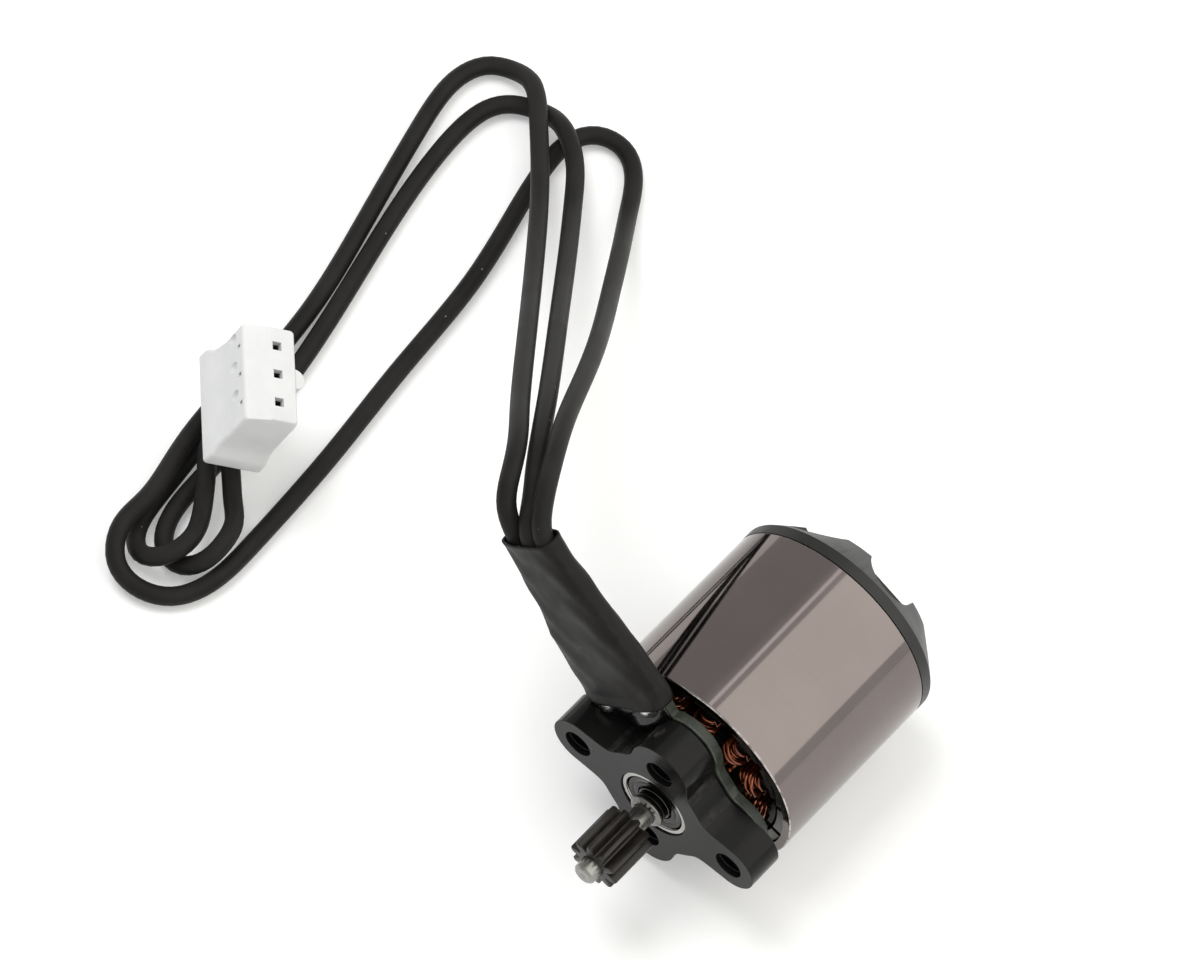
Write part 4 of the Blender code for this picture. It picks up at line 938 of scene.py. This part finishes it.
def makeSleeve(start, length, station, wall, over, flare, dip, dent, pucker, lip, square, grid, shape):
    around, along = grid
    knots, lefts, rights, thicks = zip(*shape)  # along, half width on either side, thickness
    rows = []
    for inset in (0.0, wall):
        layer = []
        for i in range(along + 1):
            row = []
            for j in range(around):
                turn = 2 * pi * j / around
                c, s = cos(turn), sin(turn)
                first = -over[0] + (over[0] - over[1]) * (1 + c) / 2  # the root's end is cut aslant
                at = first + (length - first) * i / along
                root = max(0.0, -at)
                half = float(np.interp(at, knots, rights if c > 0 else lefts))
                deep = (float(np.interp(at, knots, thicks)) + flare * root) / 2
                grow = dent[0] * sin(dent[1] * at + dent[2] * c) * sin(pucker[0] * c * half + pucker[1])
                grow += lip[0] * exp(-((length - at) / lip[1]) ** 2) - inset
                across = copysign(abs(c) ** square[0], c) * (half + grow)
                rise = copysign(abs(s) ** square[1], s) * (deep + grow)
                row.append(onTab(start + at, across, station - dip * root + rise))
            layer.append(row)
        rows += layer[::-1] if inset else layer
    skin = bmesh.new()
    made = [[skin.verts.new(point) for point in row] for row in rows]
    faceRows(skin, made + made[:1])
    place("shrinkSleeve", toMesh(skin), "sleeveBlack", "stator", "shrink_sleeve", "lead_sleeve")


makeSleeve(**sleeve)
print("sleeve made")


# plug housing; the shell's rows run along it: half width, broad face, underside

housing = dict(length=5.8, thick=3.5, corner=0.24, cavity=(1.5, 1.8, 4.6), pin=0.6, drop=0.45, past=1.0,
               rib=dict(wide=1.4, long=2.0, high=0.6, back=0.2, sunk=0.1, sides=32),
               window=dict(width=0.26, front=4.7, back=5.1, low=0.9),
               scoop=dict(radius=0.46, aside=-0.9, along=4.1, above=0.2, shape=(0.8, 1.2, 1.0, 1.0)),
               # mouth: the linings of painted shade in the pin holes
               mouth=dict(floor=4.7, inner=4.78, lip=5.4, clear=0.02, wall=0.08), edge=0.06,
               shell=((0.0, 3.74, 2.1, -1.65), (0.07, 3.82, 2.17, -1.72), (0.2, 3.85, 2.2, -1.75),
                      (0.8, 3.85, 2.16, -1.75), (1.15, 3.76, 2.1, -1.75), (1.55, 3.5, 2.02, -1.75),
                      (2.0, 3.42, 1.93, -1.75), (2.5, 3.4, 1.84, -1.75), (3.0, 3.4, 1.75, -1.75),
                      (5.25, 3.4, 1.75, -1.75), (5.38, 3.39, 1.7, -1.75), (5.45, 3.38, 1.58, -1.74),
                      (5.7, 3.34, 0.35, -1.68), (5.77, 3.28, 0.2, -1.62), (5.8, 3.2, 0.05, -1.55)))
ways = [(i - 1) * plug["pitch"] for i in range(3)]


def plugShell(shell, corner, arcSteps=6):
    shape = bmesh.new()
    rows = []
    for y, side, top, low in shell:
        row = []
        for x, z, start in ((side, top, 0), (-side, top, 1), (-side, low, 2), (side, low, 3)):
            x, z = x - copysign(corner, x), z - copysign(corner, z)
            for k in range(arcSteps + 1):
                turn = (start + k / arcSteps) * pi / 2
                row.append(shape.verts.new((x + corner * cos(turn), y, z + corner * sin(turn))))
        rows.append(row)
    faceRows(shape, rows)
    shape.faces.new(rows[0])
    shape.faces.new(rows[-1])
    return toMesh(shape, unmoved)


def backRib(length, deep, wide, long, high, back, sunk, sides):  # round-backed, on the far side
    shape = bmesh.new()
    spot = (Matrix.Translation((0, length - long / 2 - back, sunk - deep))
            @ Matrix.Rotation(pi / 2, 4, "X") @ Matrix.Diagonal((wide / 2, high + sunk, 1, 1)))
    addRod(shape, sides, 1, long, spot)
    return toMesh(shape, unmoved)


def scoops(deep, radius, aside, along, above, shape):
    hollows = bmesh.new()
    for x in ways:
        spot = Matrix.Translation((x + aside, along, deep + above)) @ Matrix.Diagonal(shape)
        bmesh.ops.create_icosphere(hollows, subdivisions=3, radius=radius, matrix=spot)
    return toMesh(hollows, unmoved)


def holeShadeLinings(pin, floor, inner, lip, clear, wall):  # painted shade: dark linings in the pin holes, standing in for the shade inside them
    a, b = pin / 2 - clear, pin / 2 - wall
    cups = []
    for x in ways:
        cups += [((x - a, floor, -a), (x + a, inner, a)), ((x - a, inner, -a), (x - b, lip, a)),
                 ((x + b, inner, -a), (x + a, lip, a)), ((x - b, inner, -a), (x + b, lip, -b)),
                 ((x - b, inner, b), (x + b, lip, a))]
    return cups


def makePlug(length, thick, corner, cavity, pin, drop, past, rib, window, scoop, mouth, edge, shell):
    def throughWays(width, front, back, low, high):
        return blocks([((x - width / 2, front, low), (x + width / 2, back, high)) for x in ways])

    deep = thick / 2
    wide, high, far = cavity
    pockets = throughWays(wide, -past, far, -high / 2, high / 2)
    pins = throughWays(pin, far - past, length + past, -drop - pin / 2, pin / 2 - drop)
    marks = throughWays(**window, high=thick)
    cuts = [pockets, pins, marks, scoops(deep, **scoop)]
    mesh = applied(plugShell(shell, corner), edge, cuts, [backRib(length, deep, **rib)], segments=2,
                   angle=50, where=inPlug)
    # the dark linings in the pin holes are painted shade
    shadeLinings = blocks(holeShadeLinings(pin, **mouth), inPlug @ Matrix.Translation((0, 0, -drop)))
    place("pinHoleShadeLinings", shadeLinings, "paintedHoleShade", "stator", "contact")
    return place("plugHousing", mesh, "plugNylon", "stator", "plug_nylon", "plug_housing")


plugPiece = makePlug(**housing)
print("plug made")


# the part's own solids that stay in view

carried = dict(stator_core="laminationStack", rear_bearing_outer="ringSteel", rear_bearing_inner="ringSteel",
               front_ball_set="cageBrass", rear_ball_set="cageBrass", rear_washer="springSteel")
carried.update({f"magnet_{i + 1:02d}": "magnetNickel" for i in range(14)})
carried.update({f"crimp_terminal_{i + 1}": "contactTin" for i in range(3)})
for node, finish in carried.items():
    mesh = frame["nodes"][node].data
    mesh.materials.clear()
    mesh.materials.append(finishes[finish])
print("solids dressed:", len(carried))


# floor, world and lamps, in metres

studio = dict(floor=dict(size=6.0, tone=(0.8, 0.8, 0.8), mottled=0.985, patches=40.0, lift=0.27),
              world=dict(strength=0.47, dimSide=0.64, dimFrom=-0.12, dimTo=-0.4),
              lamps=dict(softBox=dict(at=(0.9, 0.5, 1.1), size=(2.6, 2.2), power=18.0, tint=(1.0, 0.99, 0.9)),
                         stripBox=dict(at=(-0.19, 0.37, 0.98), size=(0.05, 0.9), power=0.16),
                         keyBox=dict(at=(-0.45, 0.0, 1.05), size=(0.6, 0.6), power=7.0, mirrored=False)))
white = color((1.0, 1.0, 1.0))


def seenRays(tree):  # what the camera sees, and that with what metal and glass show
    path = addNode(tree, "ShaderNodeLightPath").outputs
    mirrored = doMath(tree, "MAXIMUM", path["Is Glossy Ray"], path["Is Transmission Ray"])
    return path["Is Camera Ray"], doMath(tree, "MAXIMUM", path["Is Camera Ray"], mirrored)


def makeFloor(size, tone, mottled, patches, lift):
    shape = bmesh.new()
    bmesh.ops.create_grid(shape, x_segments=1, y_segments=1, size=size / 2)
    mesh = bpy.data.meshes.new("floor")
    shape.to_mesh(mesh)
    shape.free()
    material = bpy.data.materials.new("paleFloor")
    material.use_nodes = True
    tree = material.node_tree
    tree.nodes.clear()
    vector = addNode(tree, "ShaderNodeTexCoord").outputs["Object"]
    darker = color([part * mottled for part in tone])
    mottle = mixColor(tree, noise(tree, vector, patches), darker, color(tone))
    matt = outOf(tree, "ShaderNodeBsdfDiffuse", {"Color": mottle})
    glow = outOf(tree, "ShaderNodeEmission", {"Color": white, "Strength": lift})
    both = outOf(tree, "ShaderNodeAddShader", {0: matt, 1: glow})
    pick = outOf(tree, "ShaderNodeMixShader", {0: seenRays(tree)[1], 1: matt, 2: both})
    addNode(tree, "ShaderNodeOutputMaterial", {"Surface": pick}).is_active_output = True
    mesh.materials.append(material)
    addObject("floor", mesh)


def makeWorld(strength, dimSide, dimFrom, dimTo):
    world = bpy.data.worlds.new("studio")
    bpy.context.scene.world = world
    world.use_nodes = True
    tree = world.node_tree
    tree.nodes.clear()
    direct, seen = seenRays(tree)
    toward = addNode(tree, "ShaderNodeTexCoord").outputs["Generated"]
    left = outOf(tree, "ShaderNodeSeparateXYZ", {0: toward})
    shown = doMath(tree, "MAXIMUM", direct, ramp(tree, left, dimTo, dimFrom, dimSide, 1.0))
    fill = outOf(tree, "ShaderNodeBackground", {"Color": white, "Strength": strength})
    back = outOf(tree, "ShaderNodeBackground", {"Color": white, "Strength": shown})
    pick = outOf(tree, "ShaderNodeMixShader", {0: seen, 1: fill, 2: back})
    addNode(tree, "ShaderNodeOutputWorld", {"Surface": pick})


def makeLamp(name, at, size, power, tint=(1.0, 1.0, 1.0), mirrored=True):  # all aim at the origin
    data = bpy.data.lights.new(name, "AREA")
    data.shape, data.size, data.size_y, data.energy = "RECTANGLE", size[0], size[1], power
    data.color = tint
    lamp = addObject(name, data)
    lamp.location = at
    lamp.rotation_euler = Vector(at).to_track_quat("Z", "Y").to_euler()
    lamp.visible_glossy = mirrored


makeFloor(**studio["floor"])
makeWorld(**studio["world"])
for lampName, lamp in studio["lamps"].items():
    makeLamp(lampName, **lamp)
bpy.context.scene.view_settings.view_transform = "Standard"
print("studio set")
